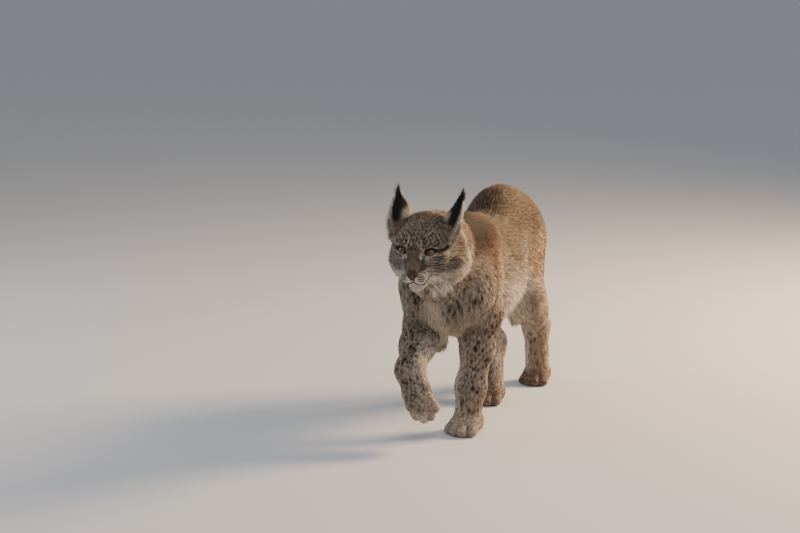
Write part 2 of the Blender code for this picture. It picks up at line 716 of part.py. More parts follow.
def ear_rings(side, scale, forward, count=14):
    """Rings round the ear from its base to its point; the cup is turned sideways and back."""
    frame = head_frame()
    base = Vector((side * EAR_BASE.x, EAR_BASE.y, EAR_BASE.z))
    tip = Vector((side * EAR_TIP.x, EAR_TIP.y, EAR_TIP.z))
    axis = (tip - base).normalized()
    opening = Vector((side * 0.60, 0.80, 0.0))
    opening = (opening - axis * opening.dot(axis)).normalized()
    across = axis.cross(opening).normalized()
    rings = []
    for t, wide, deep in (
        (-0.42, 0.86, 0.80), (0.05, 1.0, 0.76), (0.30, 0.98, 0.62), (0.50, 0.86, 0.48), (0.70, 0.62, 0.34),
        (0.87, 0.34, 0.22), (0.97, 0.16, 0.13),
    ):
        middle = base + (tip - base) * t + opening * (forward + 0.004 * (1 - t))
        ring = []
        for k in range(count):
            turn = math.tau * k / count
            back = math.sin(turn)
            ring.append(
                frame @ (
                    middle + across * math.cos(turn) * EAR_WIDE * wide * scale
                    - opening * back * EAR_WIDE * deep * scale * (1.0 if back > 0 else 0.30)
                )
            )
        rings.append(ring)
    return rings


def make_ears(head, parts, helpers):
    frame = head_frame()
    for name, side in (("ear_right", -1), ("ear_left", 1)):
        bm = lofted(ear_rings(side, 1.0, 0.0))
        mesh = bpy.data.meshes.new(name)
        bm.to_mesh(mesh)
        bm.free()
        ear = new_object(name, mesh, parts)
        tip = Vector((side * EAR_TIP.x, EAR_TIP.y, EAR_TIP.z))
        point = Vector((side * EAR_TUFT_TIP.x, EAR_TUFT_TIP.y, EAR_TUFT_TIP.z))
        root = tip.lerp(Vector((side * EAR_BASE.x, EAR_BASE.y, EAR_BASE.z)), 0.30)
        locks = ((0.0, 0.0, 1.0), (0.005, -0.006, 0.84), (-0.006, 0.005, 0.76))
        for k, (sideways, ahead, reach) in enumerate(locks):
            end = root.lerp(point, reach) + Vector((side * sideways, ahead, 0))
            bend = frame.to_3x3() @ Vector((side * 0.006, 0, 0))
            lock(
                f"tuft_{side}_{k}", frame @ root, frame @ end, bend, 0.0062, 0.0050,
                frame.to_3x3() @ Vector((0, -1, 0)), helpers, 4,
            )
        boolean(ear, helpers, "UNION")
        scoop = lofted(ear_rings(side, 0.76, 0.0075))
        helper(f"scoop_{side}", scoop, helpers)
        swollen = bpy.data.objects.new(f"swollen_{side}", head.data.copy())
        swollen.hide_render = True
        swollen.display_type = "WIRE"
        helpers.objects.link(swollen)
        grow = swollen.modifiers.new("grow", "DISPLACE")
        grow.strength = GAP
        grow.mid_level = 0.0
        boolean(ear, helpers, "DIFFERENCE")
        largest(ear, parts)


def paint(parts):
    colours = {
        "ear": FUR_BLACK, "eye": EYE_AMBER, "tail": FUR_BLACK, "forepaw": FUR_PALE, "hindpaw": FUR_PALE,
        "head": FUR_TAWNY, "neck": FUR_TAWNY, "torso": FUR_DARK,
    }
    for obj in parts.objects:
        material = bpy.data.materials.new(obj.name)
        material.use_nodes = True
        shader = material.node_tree.nodes["Principled BSDF"]
        shader.inputs["Base Color"].default_value = colours.get(obj.name.split("_")[0], FUR_TAWNY)
        shader.inputs["Roughness"].default_value = 0.15 if "eye" in obj.name else 0.85
        obj.data.materials.clear()
        obj.data.materials.append(material)


def centre_on_floor(parts):
    """Puts the middle of the model's box above the origin, with the paws on the floor."""
    points = []
    for obj in parts.objects:
        values = np.empty(len(obj.data.vertices) * 3)
        obj.data.vertices.foreach_get("co", values)
        points.append(values.reshape(-1, 3))
    points = np.vstack(points)
    low, high = points.min(0), points.max(0)
    shift = Matrix.Translation((-(low[0] + high[0]) / 2, -(low[1] + high[1]) / 2, -low[2]))
    for obj in parts.objects:
        obj.data.transform(shift)


def main():
    for obj in list(bpy.data.objects):
        bpy.data.objects.remove(obj)
    parts = bpy.data.collections.new("lynx")
    helpers = bpy.data.collections.new("cutters")
    bpy.context.scene.collection.children.link(parts)
    bpy.context.scene.collection.children.link(helpers)
    part_body(parts, helpers)
    head = make_head(parts, helpers)
    make_eyes(parts)
    make_ears(head, parts, helpers)
    paint(parts)
    centre_on_floor(parts)


main()
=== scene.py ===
"""A Eurasian lynx in its winter coat, walking, dressed for the render.

Everything is worked out in the sculptor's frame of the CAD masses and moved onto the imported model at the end.
The skin is one closed form a coat's depth inside the solids; tufts of fur grow from it out to the solids' surface.
"""

import math
from functools import reduce
from types import SimpleNamespace

import bmesh
import bpy
import numpy as np
from mathutils import Matrix, Vector
from mathutils.kdtree import KDTree


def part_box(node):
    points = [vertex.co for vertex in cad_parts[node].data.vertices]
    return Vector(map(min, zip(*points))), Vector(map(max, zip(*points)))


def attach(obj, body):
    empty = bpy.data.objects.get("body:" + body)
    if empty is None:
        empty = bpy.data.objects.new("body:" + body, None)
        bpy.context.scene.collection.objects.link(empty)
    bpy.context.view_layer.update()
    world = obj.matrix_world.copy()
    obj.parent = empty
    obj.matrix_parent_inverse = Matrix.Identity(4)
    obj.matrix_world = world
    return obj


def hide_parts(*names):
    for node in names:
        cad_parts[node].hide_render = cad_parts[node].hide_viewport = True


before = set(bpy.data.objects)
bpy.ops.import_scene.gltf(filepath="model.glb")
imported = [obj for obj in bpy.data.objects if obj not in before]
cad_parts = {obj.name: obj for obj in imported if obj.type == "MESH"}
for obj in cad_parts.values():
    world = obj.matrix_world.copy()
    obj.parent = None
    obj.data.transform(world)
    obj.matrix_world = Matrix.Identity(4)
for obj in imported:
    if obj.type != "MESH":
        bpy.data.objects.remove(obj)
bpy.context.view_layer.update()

# Sizes of the animal, as in the CAD source, in metres
HEAD_SCALE = 1.09
HEAD_PITCH_DEG, HEAD_YAW_DEG, HEAD_ROLL_DEG = 19.0, 2.5, 2.0
HEAD_CENTRE = Vector((0.008, -0.492, 0.580))
TRUNK_X = 0.012
EYE_PLACE = Vector((0.0355, -0.0590, 0.0030))
EAR_BASE = Vector((0.0590, 0.0120, 0.0350))
EAR_TIP = Vector((0.0830, 0.0640, 0.0930))
EAR_TUFT_TIP = Vector((0.0715, 0.0820, 0.1140))
EAR_WIDE = 0.0300
NOSE_TIP = Vector((0, -0.118, -0.035))
SHOULDER_LEFT, ELBOW_LEFT = Vector((0.076, -0.300, 0.430)), Vector((0.074, -0.212, 0.335))
WRIST_LEFT, PAW_LEFT = Vector((0.054, -0.262, 0.130)), Vector((0.049, -0.286, 0.0245))
SHOULDER_RIGHT, ELBOW_RIGHT = Vector((-0.072, -0.335, 0.430)), Vector((-0.080, -0.288, 0.300))
WRIST_RIGHT, PAW_RIGHT = Vector((-0.052, -0.455, 0.212)), Vector((-0.017, -0.478, 0.137))
HIP_LEFT, KNEE_LEFT = Vector((0.056, 0.175, 0.500)), Vector((0.090, 0.115, 0.335))
HOCK_LEFT, TOE_LEFT = Vector((0.058, 0.315, 0.195)), Vector((0.050, 0.345, 0.0240))
HIP_RIGHT, KNEE_RIGHT = Vector((-0.040, 0.160, 0.500)), Vector((-0.066, 0.022, 0.345))
HOCK_RIGHT, TOE_RIGHT = Vector((-0.026, 0.140, 0.168)), Vector((-0.004, 0.062, 0.0240))

MOST_SPOTS, SPOT_TRIES = 9000, 60000
SKIN_VOXEL = 0.0056
TUFT_SHARE = 1.0

# Fur by the part of the body it grows on: length, depth of coat, width of a tuft in mm, lift in degrees, gap in mm
FUR = {
    "trunk": (23, 9.0, 2.4, 26, 1.95),
    "sternum": (22, 11.0, 2.6, 32, 2.00),
    "belly": (54, 14.0, 3.8, 32, 2.50),
    "neck": (18, 11.0, 2.3, 34, 1.85),
    "shoulder": (14, 7.0, 2.1, 28, 1.80),
    "forearm": (13, 4.2, 2.2, 21, 1.85),
    "thigh": (20, 8.0, 2.4, 26, 2.05),
    "shin": (16, 4.8, 2.5, 22, 2.15),
    "tail": (26, 7.0, 2.8, 26, 1.80),
    "paw": (8.5, 2.4, 1.8, 20, 1.65),
    "toe": (6.5, 1.8, 1.5, 18, 1.50),
    "skull": (10, 2.4, 1.7, 20, 1.35),
    "nape": (24, 7.0, 2.4, 24, 1.80),
    "cheek": (14, 3.8, 1.7, 22, 1.35),
    "jaw": (23, 7.0, 2.2, 26, 1.50),
    "brow": (5.5, 1.4, 1.1, 22, 1.05),
    "bridge": (4.5, 1.1, 0.9, 17, 0.95),
    "pad": (3.6, 1.1, 1.0, 16, 1.00),
    "nose": (2.5, 0.6, 0.9, 15, 1.00),
    "chin": (7, 1.9, 1.3, 26, 1.10),
}
KINDS = list(FUR)
HEAD_KINDS = ("skull", "nape", "cheek", "jaw", "brow", "bridge", "pad", "nose", "chin")

# Long hairs of the ruff and of the belly's fringe: length in mm, lift in degrees
RUFF_LENGTH, RUFF_LOW_LENGTH, RUFF_LIFT = 33, 14, 20
FRINGE_EXTRA, FRINGE_LIFT = 12, 38
# Soles and the tufts near them stop this far above the floor
SOLE = 0.0016


def unit(vectors):
    return vectors / (np.linalg.norm(vectors, axis=-1, keepdims=True) + 1e-12)


def mixed(before, after, share):
    """Goes from before to after as the share goes from 0 to 1."""
    return before * (1 - share) + after * share


def ramp(values, low, high):
    """0 below low, 1 above high, smooth between; low may lie above high."""
    t = np.clip((values - low) / (high - low), 0, 1)
    return t * t * (3 - 2 * t)


def band(values, middle, width):
    """1 at the middle, falling off smoothly to both sides."""
    return np.exp(-(((values - middle) / width) ** 2))


def highest(*values):
    """The highest of the values at each point."""
    return reduce(np.maximum, values)


def sided(side, place):
    """A place given for the left side, on the side asked for."""
    return Vector((side * place[0], place[1], place[2]))


def kinds_of(weights):
    """Each kind's own column of the weights, by its name."""
    return SimpleNamespace(**{kind: weights[:, i] for i, kind in enumerate(KINDS)})


class Mass:
    """A tapered capsule of flesh from a to b with the kind and the lie of the fur that grows on it."""

    def __init__(self, kind, a, b, ra, rb, wide=1.0, tall=1.0, blend=0.03, place=None, lie=None):
        self.kind = kind
        self.a, self.b = Vector(a), Vector(b)
        self.ra, self.rb = ra, rb
        self.scale = Vector((wide, 1.0, tall))
        self.blend = blend
        self.place = place or Matrix.Identity(4)
        self.lie = self.place.to_3x3() @ (Vector(lie) if lie else self.b - self.a)
        self.lie.normalize()

    def distance(self, points):
        """About how far the points lie outside this mass."""
        inverse = np.array(self.place.inverted())
        scale = np.array(self.scale)
        local = (points @ inverse[:3, :3].T + inverse[:3, 3]) / scale
        start, end = np.array(self.a) / scale, np.array(self.b) / scale
        along = end - start
        t = np.clip((local - start) @ along / max(float(along @ along), 1e-12), 0.0, 1.0)
        away = local - start - t[:, None] * along
        reach = np.linalg.norm(away, axis=1) + 1e-9
        slope = np.linalg.norm(away / reach[:, None] / scale, axis=1)
        size = np.cbrt(np.linalg.det(inverse[:3, :3]))
        return (reach - self.ra - t * (self.rb - self.ra)) / slope / size

    def near(self, points, more=0.03):
        """Which points are close enough to be touched by this mass or its blend."""
        middle = np.array(self.place @ ((self.a + self.b) / 2))
        size = self.place.to_scale().x
        reach = (self.a - self.b).length / 2 + max(self.ra, self.rb) * max(self.scale)
        return np.linalg.norm(points - middle, axis=1) < reach * size + self.blend + more

    def add_to(self, bm):
        """Plain stand-in shapes: a ball at each end and a cone between them."""
        unscale = Matrix.Diagonal((1 / self.scale.x, 1, 1 / self.scale.z, 1))
        a, b = unscale @ self.a, unscale @ self.b
        place = self.place @ Matrix.Diagonal((*self.scale, 1.0))
        for centre, radius in ((a, self.ra), (b, self.rb)):
            part = bmesh.new()
            bmesh.ops.create_uvsphere(
                part, u_segments=18, v_segments=12, radius=radius, matrix=place @ Matrix.Translation(centre)
            )
            join(bm, part)
        along = b - a
        if along.length > 1e-5:
            turn = along.to_track_quat("Z", "Y").to_matrix().to_4x4()
            part = bmesh.new()
            bmesh.ops.create_cone(
                part, cap_ends=True, segments=18, radius1=self.ra, radius2=self.rb, depth=along.length,
                matrix=place @ Matrix.Translation((a + b) / 2) @ turn,
            )
            join(bm, part)


def as_mesh(bm, name):
    mesh = bpy.data.meshes.new(name)
    bm.to_mesh(mesh)
    bm.free()
    return mesh


def placed(name, data):
    """An object for the data, in the scene."""
    obj = bpy.data.objects.new(name, data)
    bpy.context.scene.collection.objects.link(obj)
    return obj


def join(bm, part):
    """Adds a small bmesh to a large one; making its shapes there would take much longer."""
    mesh = as_mesh(part, "part")
    bm.from_mesh(mesh)
    bpy.data.meshes.remove(mesh)


def blended_distance(points, masses, hollows=()):
    """Smooth union of the masses, less the hollows."""
    total = np.full(len(points), 0.5)
    signed = [(mass, 1, np.minimum) for mass in masses] + [(hollow, -1, np.maximum) for hollow in hollows]
    for mass, sign, nearest in signed:
        here = np.nonzero(mass.near(points))[0]
        one, before = sign * mass.distance(points[here]), total[here]
        mix = np.maximum(mass.blend - np.abs(before - one), 0.0)
        total[here] = nearest(before, one) - sign * mix * mix / (4 * mass.blend)
    return total


def slope_of(points, masses, hollows=(), step=0.0012):
    """The outward direction of the blended form at the points."""
    corners = np.array([(1, -1, -1), (-1, -1, 1), (-1, 1, -1), (1, 1, 1)], float)
    return unit(sum(blended_distance(points + step * c, masses, hollows)[:, None] * c for c in corners))


def settle(points, masses, hollows, inset, rounds):
    """Moves the points along the form's slope until they lie the inset inside it."""
    for _step in range(rounds):
        slope = slope_of(points, masses, hollows)
        away = blended_distance(points, masses, hollows) + inset
        points = points - np.clip(away, -0.015, 0.015)[:, None] * slope
    return points


# ---------------------------------------------------------------- the masses of the body


def head_frame():
    turn = (
        Matrix.Rotation(math.radians(HEAD_YAW_DEG), 4, "Z")
        @ Matrix.Rotation(math.radians(HEAD_PITCH_DEG), 4, "X")
        @ Matrix.Rotation(math.radians(HEAD_ROLL_DEG), 4, "Y")
    )
    return Matrix.Translation(HEAD_CENTRE) @ turn @ Matrix.Scale(HEAD_SCALE, 4)


HEAD = head_frame()
HEAD_TURN = HEAD.to_3x3() * (1 / HEAD_SCALE)


def trunk_masses():
    x = TRUNK_X
    back, down = (0, 1, -0.12), (0, 0.30, -1.0)
    return [
        Mass("trunk", (x, -0.235, 0.462), (x, 0.000, 0.462), 0.126, 0.122, 0.80, 1.0, 0.05, lie=(0, 1, -0.22)),
        Mass("trunk", (x, -0.245, 0.545), (x, -0.130, 0.535), 0.070, 0.064, 0.90, 1.0, 0.05, lie=back),
        Mass("sternum", (x, -0.325, 0.385), (x, -0.130, 0.362), 0.088, 0.080, 0.92, 1.0, 0.05, lie=down),
        Mass("trunk", (x, 0.000, 0.485), (x, 0.140, 0.530), 0.112, 0.112, 0.86, 1.0, 0.05, lie=(0, 1, -0.22)),
        Mass("belly", (x, -0.070, 0.390), (x, 0.100, 0.378), 0.098, 0.094, 0.92, 1.0, 0.05, lie=(0, 0.9, -0.7)),
        Mass("trunk", (x - 0.004, 0.095, 0.545), (x - 0.004, 0.210, 0.508), 0.108, 0.094, 0.78, 1.0, 0.05,
             lie=(0, 1, -0.3)),
        Mass("trunk", (x - 0.002, 0.210, 0.510), (x - 0.002, 0.272, 0.500), 0.074, 0.054, 0.95, 1.0, 0.05,
             lie=(0, 0.5, -1)),
    ]


def neck_masses():
    x = TRUNK_X
    return [
        Mass("neck", (x, -0.270, 0.498), HEAD_CENTRE + Vector((0, 0.085, -0.040)), 0.120, 0.092, 0.86, 1.0, 0.05,
             lie=(0, 0.9, -0.55)),
        Mass("neck", (x, -0.320, 0.430), HEAD_CENTRE + Vector((0, 0.050, -0.080)), 0.094, 0.072, 0.92, 1.0, 0.05,
             lie=(0, 0.30, -1.0)),
    ]


def limb_masses(kind, joints, radii, wide, blend):
    return [
        Mass(kind, a, b, ra, rb, wide, 1.0, blend)
        for a, b, ra, rb in zip(joints, joints[1:], radii, radii[1:])
    ]


def foreleg_masses():
    masses = []
    down = (0, 0.30, -1)
    for shoulder, elbow, side in ((SHOULDER_LEFT, ELBOW_LEFT, 1), (SHOULDER_RIGHT, ELBOW_RIGHT, -1)):
        blade = Vector((TRUNK_X + side * 0.048, shoulder.y + 0.105, 0.535))
        masses += [
            Mass("shoulder", shoulder + Vector((-side * 0.012, 0, -0.012)), blade, 0.076, 0.058, 0.62, 1.0, 0.045,
                 lie=down),
            Mass("shoulder", shoulder, elbow, 0.066, 0.052, 0.78, 1.0, 0.045, lie=down),
            Mass("shoulder", elbow + Vector((-side * 0.006, 0.004, 0.080)), elbow, 0.062, 0.050, 0.72, 1.0, 0.045,
                 lie=down),
        ]
    left = (ELBOW_LEFT, ELBOW_LEFT.lerp(WRIST_LEFT, 0.45), WRIST_LEFT, PAW_LEFT + Vector((0, 0.012, 0.022)))
    right = (ELBOW_RIGHT, ELBOW_RIGHT.lerp(WRIST_RIGHT, 0.45), WRIST_RIGHT, PAW_RIGHT)
    masses += limb_masses("forearm", left, (0.053, 0.0475, 0.0410, 0.0400), 0.97, 0.03)
    masses += limb_masses("forearm", right, (0.055, 0.0480, 0.0385, 0.0370), 0.97, 0.03)
    return masses


def hindleg_masses():
    masses = []
    for hip, knee, hock, toe, side in (
        (HIP_LEFT, KNEE_LEFT, HOCK_LEFT, TOE_LEFT, 1), (HIP_RIGHT, KNEE_RIGHT, HOCK_RIGHT, TOE_RIGHT, -1)
    ):
        seat = hip + Vector((-side * 0.004, 0.066, -0.030))
        masses += [
            Mass("thigh", hip + Vector((-side * 0.012, 0, -0.006)), knee, 0.098, 0.062, 0.64, 1.0, 0.045,
                 lie=(0, 0.45, -1)),
            Mass("thigh", seat, knee.lerp(hock, 0.25) + Vector((0, 0.020, 0.020)), 0.070, 0.050, 0.70, 1.0, 0.045,
                 lie=(0, 0.25, -1)),
        ]
        joints = (knee, knee.lerp(hock, 0.5), hock, toe + Vector((0, 0.010, 0.020)))
        masses += limb_masses("shin", joints, (0.062, 0.052, 0.0420, 0.0400), 0.90, 0.03)
    return masses


def tail_masses():
    x = TRUNK_X
    joints = (
        Vector((x, 0.270, 0.515)), Vector((x, 0.308, 0.475)), Vector((x + 0.002, 0.330, 0.420)),
        Vector((x + 0.004, 0.337, 0.370)),
    )
    return limb_masses("tail", joints, (0.046, 0.037, 0.033, 0.030), 1.0, 0.02)


def paw_masses(ball, forward, up, size, blend=0.022):
    """The pad and four toes of a broad paw."""
    forward = forward.normalized()
    side = up.cross(forward).normalized()
    up = forward.cross(side).normalized()
    place = Matrix.Translation(ball) @ Matrix((side, -forward, up)).transposed().to_4x4()
    masses = [
        Mass("paw", (0, 0.022 * size, 0.002), (0, -0.006, 0.000), 0.036 * size, 0.035 * size, 1.08, 0.86, blend,
             place, (0, -1, -0.5))
    ]
    for across, reach in ((-0.0330, 0.034), (-0.0115, 0.049), (0.0115, 0.050), (0.0330, 0.036)):
        masses.append(
            Mass(
                "toe", (across * 0.8 * size, -0.006, 0.004), (across * size, -reach * size, -0.0105),
                0.0185 * size, 0.0168 * size, 0.94, 1.0, 0.007, place, (0, -1, -0.5),
            )
        )
    return masses


def paws():
    down = (PAW_RIGHT - WRIST_RIGHT).normalized()
    return (
        paw_masses(PAW_LEFT, Vector((-0.10, -1, 0)), Vector((0, 0, 1)), 1.05)
        + paw_masses(PAW_RIGHT, down, Vector((-0.25, -1, 0)), 1.02)
        + paw_masses(TOE_LEFT, Vector((0.02, -1, 0)), Vector((0, 0, 1)), 0.98)
        + paw_masses(TOE_RIGHT, Vector((-0.02, -1, 0)), Vector((0, 0, 1)), 0.98)
    )


def head_mass(kind, a, b, ra, rb, wide=1.0, tall=1.0, blend=0.016):
    return Mass(kind, a, b, ra, rb, wide, tall, blend, HEAD)


SIDE_MASSES = (
    ("cheek", (0.046, -0.034, -0.022), (0.050, 0.020, -0.022), 0.030, 0.044, 0.82),
    ("cheek", (0.030, -0.050, -0.046), (0.052, -0.005, -0.058), 0.026, 0.036, 0.95),
    ("jaw", (0.058, -0.002, -0.046), (0.066, 0.030, -0.066), 0.034, 0.034, 0.9, 1.0, 0.024),
    ("brow", (0.024, -0.058, 0.0240), (0.047, -0.042, 0.0225), 0.0130, 0.0140, 1, 1, 0.012),
    ("pad", (0.0165, -0.072, -0.0440), (0.0155, -0.0960, -0.0480), 0.0235, 0.0190, 1, 1, 0.009),
)


def head_masses():
    masses = [
        head_mass("skull", (0, 0.020, 0.000), (0, -0.030, 0.002), 0.062, 0.057, 1.12),
        head_mass("nape", (0, 0.026, -0.016), (0, 0.085, -0.046), 0.066, 0.076, 1.08, 1.0, 0.03),
        head_mass("jaw", (0, 0.000, -0.050), (0, 0.060, -0.075), 0.056, 0.066, 1.15, 1.0, 0.03),
        head_mass("bridge", (0, -0.036, 0.012), (0, -0.058, -0.001), 0.040, 0.031, 1.25, 1.0, 0.028),
        head_mass("bridge", (0, -0.056, -0.004), (0, -0.098, -0.0265), 0.0245, 0.0170, 0.95),
        head_mass("nose", (0, -0.093, -0.0270), (0, -0.1045, -0.0330), 0.0150, 0.0125, 1.12, 1.0, 0.008),
        head_mass("chin", (0, -0.030, -0.064), (0, -0.085, -0.0775), 0.033, 0.0175, 1.10),
    ]
    for side in (-1, 1):
        masses += [head_mass(kind, sided(side, a), sided(side, b), *shape) for kind, a, b, *shape in SIDE_MASSES]
    return masses


def eye_hollows():
    return [
        Mass("brow", (side * 0.0350, -0.0810, 0.0085), (side * 0.0370, -0.0800, 0.0085), 0.0155, 0.0155, 1, 0.88,
             0.009, HEAD)
        for side in (-1, 1)
    ]


MASSES = trunk_masses() + neck_masses() + head_masses() + foreleg_masses() + hindleg_masses() + tail_masses() + paws()
HOLLOWS = eye_hollows()


def eye_centre(side):
    return HEAD @ sided(side, EYE_PLACE)


eye_low, eye_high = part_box("eye_left")
SHIFT = (Vector(eye_low) + Vector(eye_high)) / 2 - eye_centre(1)


def to_head(points):
    """Points in the head's own frame, nose towards -Y."""
    inverse = np.array(HEAD.inverted())
    return points @ inverse[:3, :3].T + inverse[:3, 3]


def turn_head(vectors):
    """Directions of the head's own frame in the model's."""
    return vectors @ np.array(HEAD_TURN).T


# ---------------------------------------------------------------- what grows where


def kind_weights(points):
    """How much each kind of fur grows at each point, and the lie it has there."""
    weights = np.zeros((len(points), len(KINDS)))
    lie = np.zeros((len(points), 3))
    for mass in MASSES:
        here = np.nonzero(mass.near(points, 0.05))[0]
        pull = np.exp(-np.clip(mass.distance(points[here]) + 0.010, 0, 1) / 0.011) + 1e-9
        weights[here, KINDS.index(mass.kind)] += pull
        lie[here] += pull[:, None] * np.array(mass.lie)
    return weights / (weights.sum(1, keepdims=True) + 1e-12), unit(lie)


RUFF = [
    ((0.074, 0.030, 0.014), (0.38, 0.70, -0.60)), ((0.084, 0.020, -0.012), (0.34, 0.50, -0.78)),
    ((0.088, 0.012, -0.040), (0.32, 0.30, -0.88)), ((0.078, 0.000, -0.070), (0.26, 0.20, -0.94)),
    ((0.056, -0.018, -0.096), (0.16, 0.12, -0.98)), ((0.026, -0.030, -0.104), (0.06, 0.08, -1.00)),
]
FRINGE = [
    ((TRUNK_X - 0.034, -0.080, 0.302), (TRUNK_X - 0.030, 0.110, 0.296), (-0.10, 0.35, -1.0), 0.045),
    ((TRUNK_X + 0.036, -0.095, 0.304), (TRUNK_X + 0.040, 0.120, 0.296), (0.10, 0.35, -1.0), 0.048),
    ((TRUNK_X - 0.050, -0.325, 0.305), (TRUNK_X + 0.022, -0.255, 0.292), (0.05, 0.30, -1.0), 0.045),
    ((-0.078, -0.315, 0.270), (-0.046, -0.232, 0.282), (0.20, 0.20, -1.0), 0.048),
]


def near_line(points, a, b):
    """Distance to the line from a to b, and how far along it the nearest place is."""
    a, b = np.array(a), np.array(b)
    t = np.clip((points - a) @ (b - a) / ((b - a) @ (b - a)), 0, 1)
    return np.linalg.norm(points - a - t[:, None] * (b - a), axis=1), t


def growth(points, normals):
    """Length, depth, width, lift and gap of the fur at the points, its lie, and the kinds' weights."""
    weights, lie = kind_weights(points)
    table = np.array([FUR[kind] for kind in KINDS], float)
    length, depth, width, lift, gap = (weights @ table).T
    on_head = weights[:, [KINDS.index(kind) for kind in HEAD_KINDS]].sum(1)
    head = to_head(points)
    away = unit(head - np.array(NOSE_TIP) + np.array((0, -0.02, 0)))
    low = np.clip((-head[:, 2] - 0.015) / 0.06, 0, 1)
    away = turn_head(unit(away + np.array((0, 0.15, -1.0)) * low[:, None] * 0.9))
    lie = unit(lie * (1 - on_head)[:, None] + away * on_head[:, None] * 1.2)
    ruff = np.zeros(len(points))
    side = np.sign(head[:, 0])
    flip = np.stack((side, np.ones(len(side)), np.ones(len(side))), 1)
    for (a, way_a), (b, way_b) in zip(RUFF, RUFF[1:]):
        far, t = near_line(head * flip, a, b)
        pull = band(far, 0, 0.021)
        way = mixed(np.array(way_a), np.array(way_b), t[:, None]) * flip
        stronger = pull > ruff
        ruff = np.maximum(ruff, pull)
        lie = unit(mixed(lie, turn_head(unit(way)), np.where(stronger, pull, 0)[:, None]))
    length = mixed(length, RUFF_LENGTH + RUFF_LOW_LENGTH * np.clip((-head[:, 2] - 0.058) / 0.03, 0, 1), ruff)
    lift = mixed(lift, RUFF_LIFT, ruff)
    fringe = np.zeros(len(points))
    for a, b, way, reach in FRINGE:
        pull = band(near_line(points, a, b)[0], 0, 0.026) * np.clip(0.4 - normals[:, 2], 0, 1)
        fringe = np.maximum(fringe, pull)
        length = mixed(length, reach * 1000 + FRINGE_EXTRA, pull)
        lie = unit(mixed(lie, unit(np.array(way)), pull[:, None]))
    lift = mixed(lift, FRINGE_LIFT, fringe)
    # The hair parts round the eyes and doesn't grow over them
    for sign in (-1, 1):
        from_eye = points - np.array(eye_centre(sign))
        far = np.linalg.norm(from_eye, axis=1)
        from_eye = unit(from_eye - (from_eye * normals).sum(1)[:, None] * normals)
        toward = np.clip(-(lie * from_eye).sum(1), 0, 1) * ramp(far, 0.034, 0.020)
        lie = unit(lie + 1.5 * toward[:, None] * from_eye)
    return {
        "length": length / 1000, "depth": depth / 1000, "width": width / 1000, "lift": np.radians(lift),
        "gap": gap / 1000, "lie": lie, "weights": weights, "on_head": on_head, "ruff": ruff, "fringe": fringe,
    }


# ---------------------------------------------------------------- mesh helpers


def triples(items, key, kind=float):
    """The three numbers that each item keeps under the key, a row for each item."""
    values = np.empty(len(items) * 3, dtype=kind)
    items.foreach_get(key, values)
    return values.reshape(-1, 3)


def surface_of(mesh):
    """Where the mesh's vertices are, and their normals."""
    return triples(mesh.vertices, "co"), triples(mesh.vertex_normals, "vector")


def triangles_of(mesh):
    mesh.calc_loop_triangles()
    return triples(mesh.loop_triangles, "vertices", np.int64)


def set_vertices(mesh, points):
    mesh.vertices.foreach_set("co", np.ascontiguousarray(points, dtype=np.float32).ravel())
    mesh.update()


def set_values(mesh, key, values):
    """Gives each vertex its own number, for a material to read."""
    layer = mesh.attributes.new(key, "FLOAT", "POINT")
    layer.data.foreach_set("value", values.astype(np.float32))


def set_marks(mesh, marks, **others):
    """Writes the coat's marks onto a bare surface, in the tone of the underfur."""
    count = len(mesh.vertices)
    underfur = {"along": np.full(count, 0.25), "vary": np.full(count, 0.4)}
    for key, values in (*marks.items(), *underfur.items(), *others.items()):
        set_values(mesh, key, values)


def piece(name, mesh, material, replaces=()):
    """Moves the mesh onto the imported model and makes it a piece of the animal."""
    mesh.transform(Matrix.Translation(SHIFT))
    obj = placed(name, mesh)
    mesh.materials.clear()
    mesh.materials.append(material)
    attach(obj, "root")
    if replaces:
        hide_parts(*replaces)


def finished(bm, name, smooth=True):
    """Ends a bmesh: doubles merged, faces outward."""
    bmesh.ops.remove_doubles(bm, verts=bm.verts, dist=1e-6)
    outward(bm)
    mesh = as_mesh(bm, name)
    if smooth:
        mesh.shade_smooth()
    return mesh


def lofted(bm, rings, around=False):
    """A closed form through rings of points: a grid bent round, merged at its seam, its ends filled."""
    rings = list(rings) + (rings[:1] if around else [])
    sides, steps = len(rings[0]), len(rings) - 1
    part = bmesh.new()
    bmesh.ops.create_grid(part, x_segments=sides, y_segments=steps, size=1.0)
    for vert in part.verts:
        across, up = round((vert.co.x + 1) / 2 * sides) % sides, round((vert.co.y + 1) / 2 * steps)
        vert.co = rings[up][across]
    bmesh.ops.remove_doubles(part, verts=part.verts, dist=1e-7)
    open_edges = [edge for edge in part.edges if edge.is_boundary]
    if open_edges:
        bmesh.ops.holes_fill(part, edges=open_edges)
    outward(part)
    join(bm, part)


def outward(bm):
    bmesh.ops.recalc_face_normals(bm, faces=bm.faces)
    if bm.calc_volume(signed=True) < 0:
        bmesh.ops.reverse_faces(bm, faces=bm.faces)


def smooth_path(points, count):
    """A curve through the points, as that many places along it."""
    points = [Vector(p) for p in points]
    path = []
    for index in range(count):
        at = index / (count - 1) * (len(points) - 1)
        k = min(int(at), len(points) - 2)
        t = at - k
        a, b = points[k], points[k + 1]
        before = points[k - 1] if k else a * 2 - b
        after = points[k + 2] if k + 2 < len(points) else b * 2 - a
        path.append(
            0.5 * (2 * a + (b - before) * t + (2 * before - 5 * a + 4 * b - after) * t * t
                   + (3 * a - before - 3 * b + after) * t * t * t)
        )
    return path


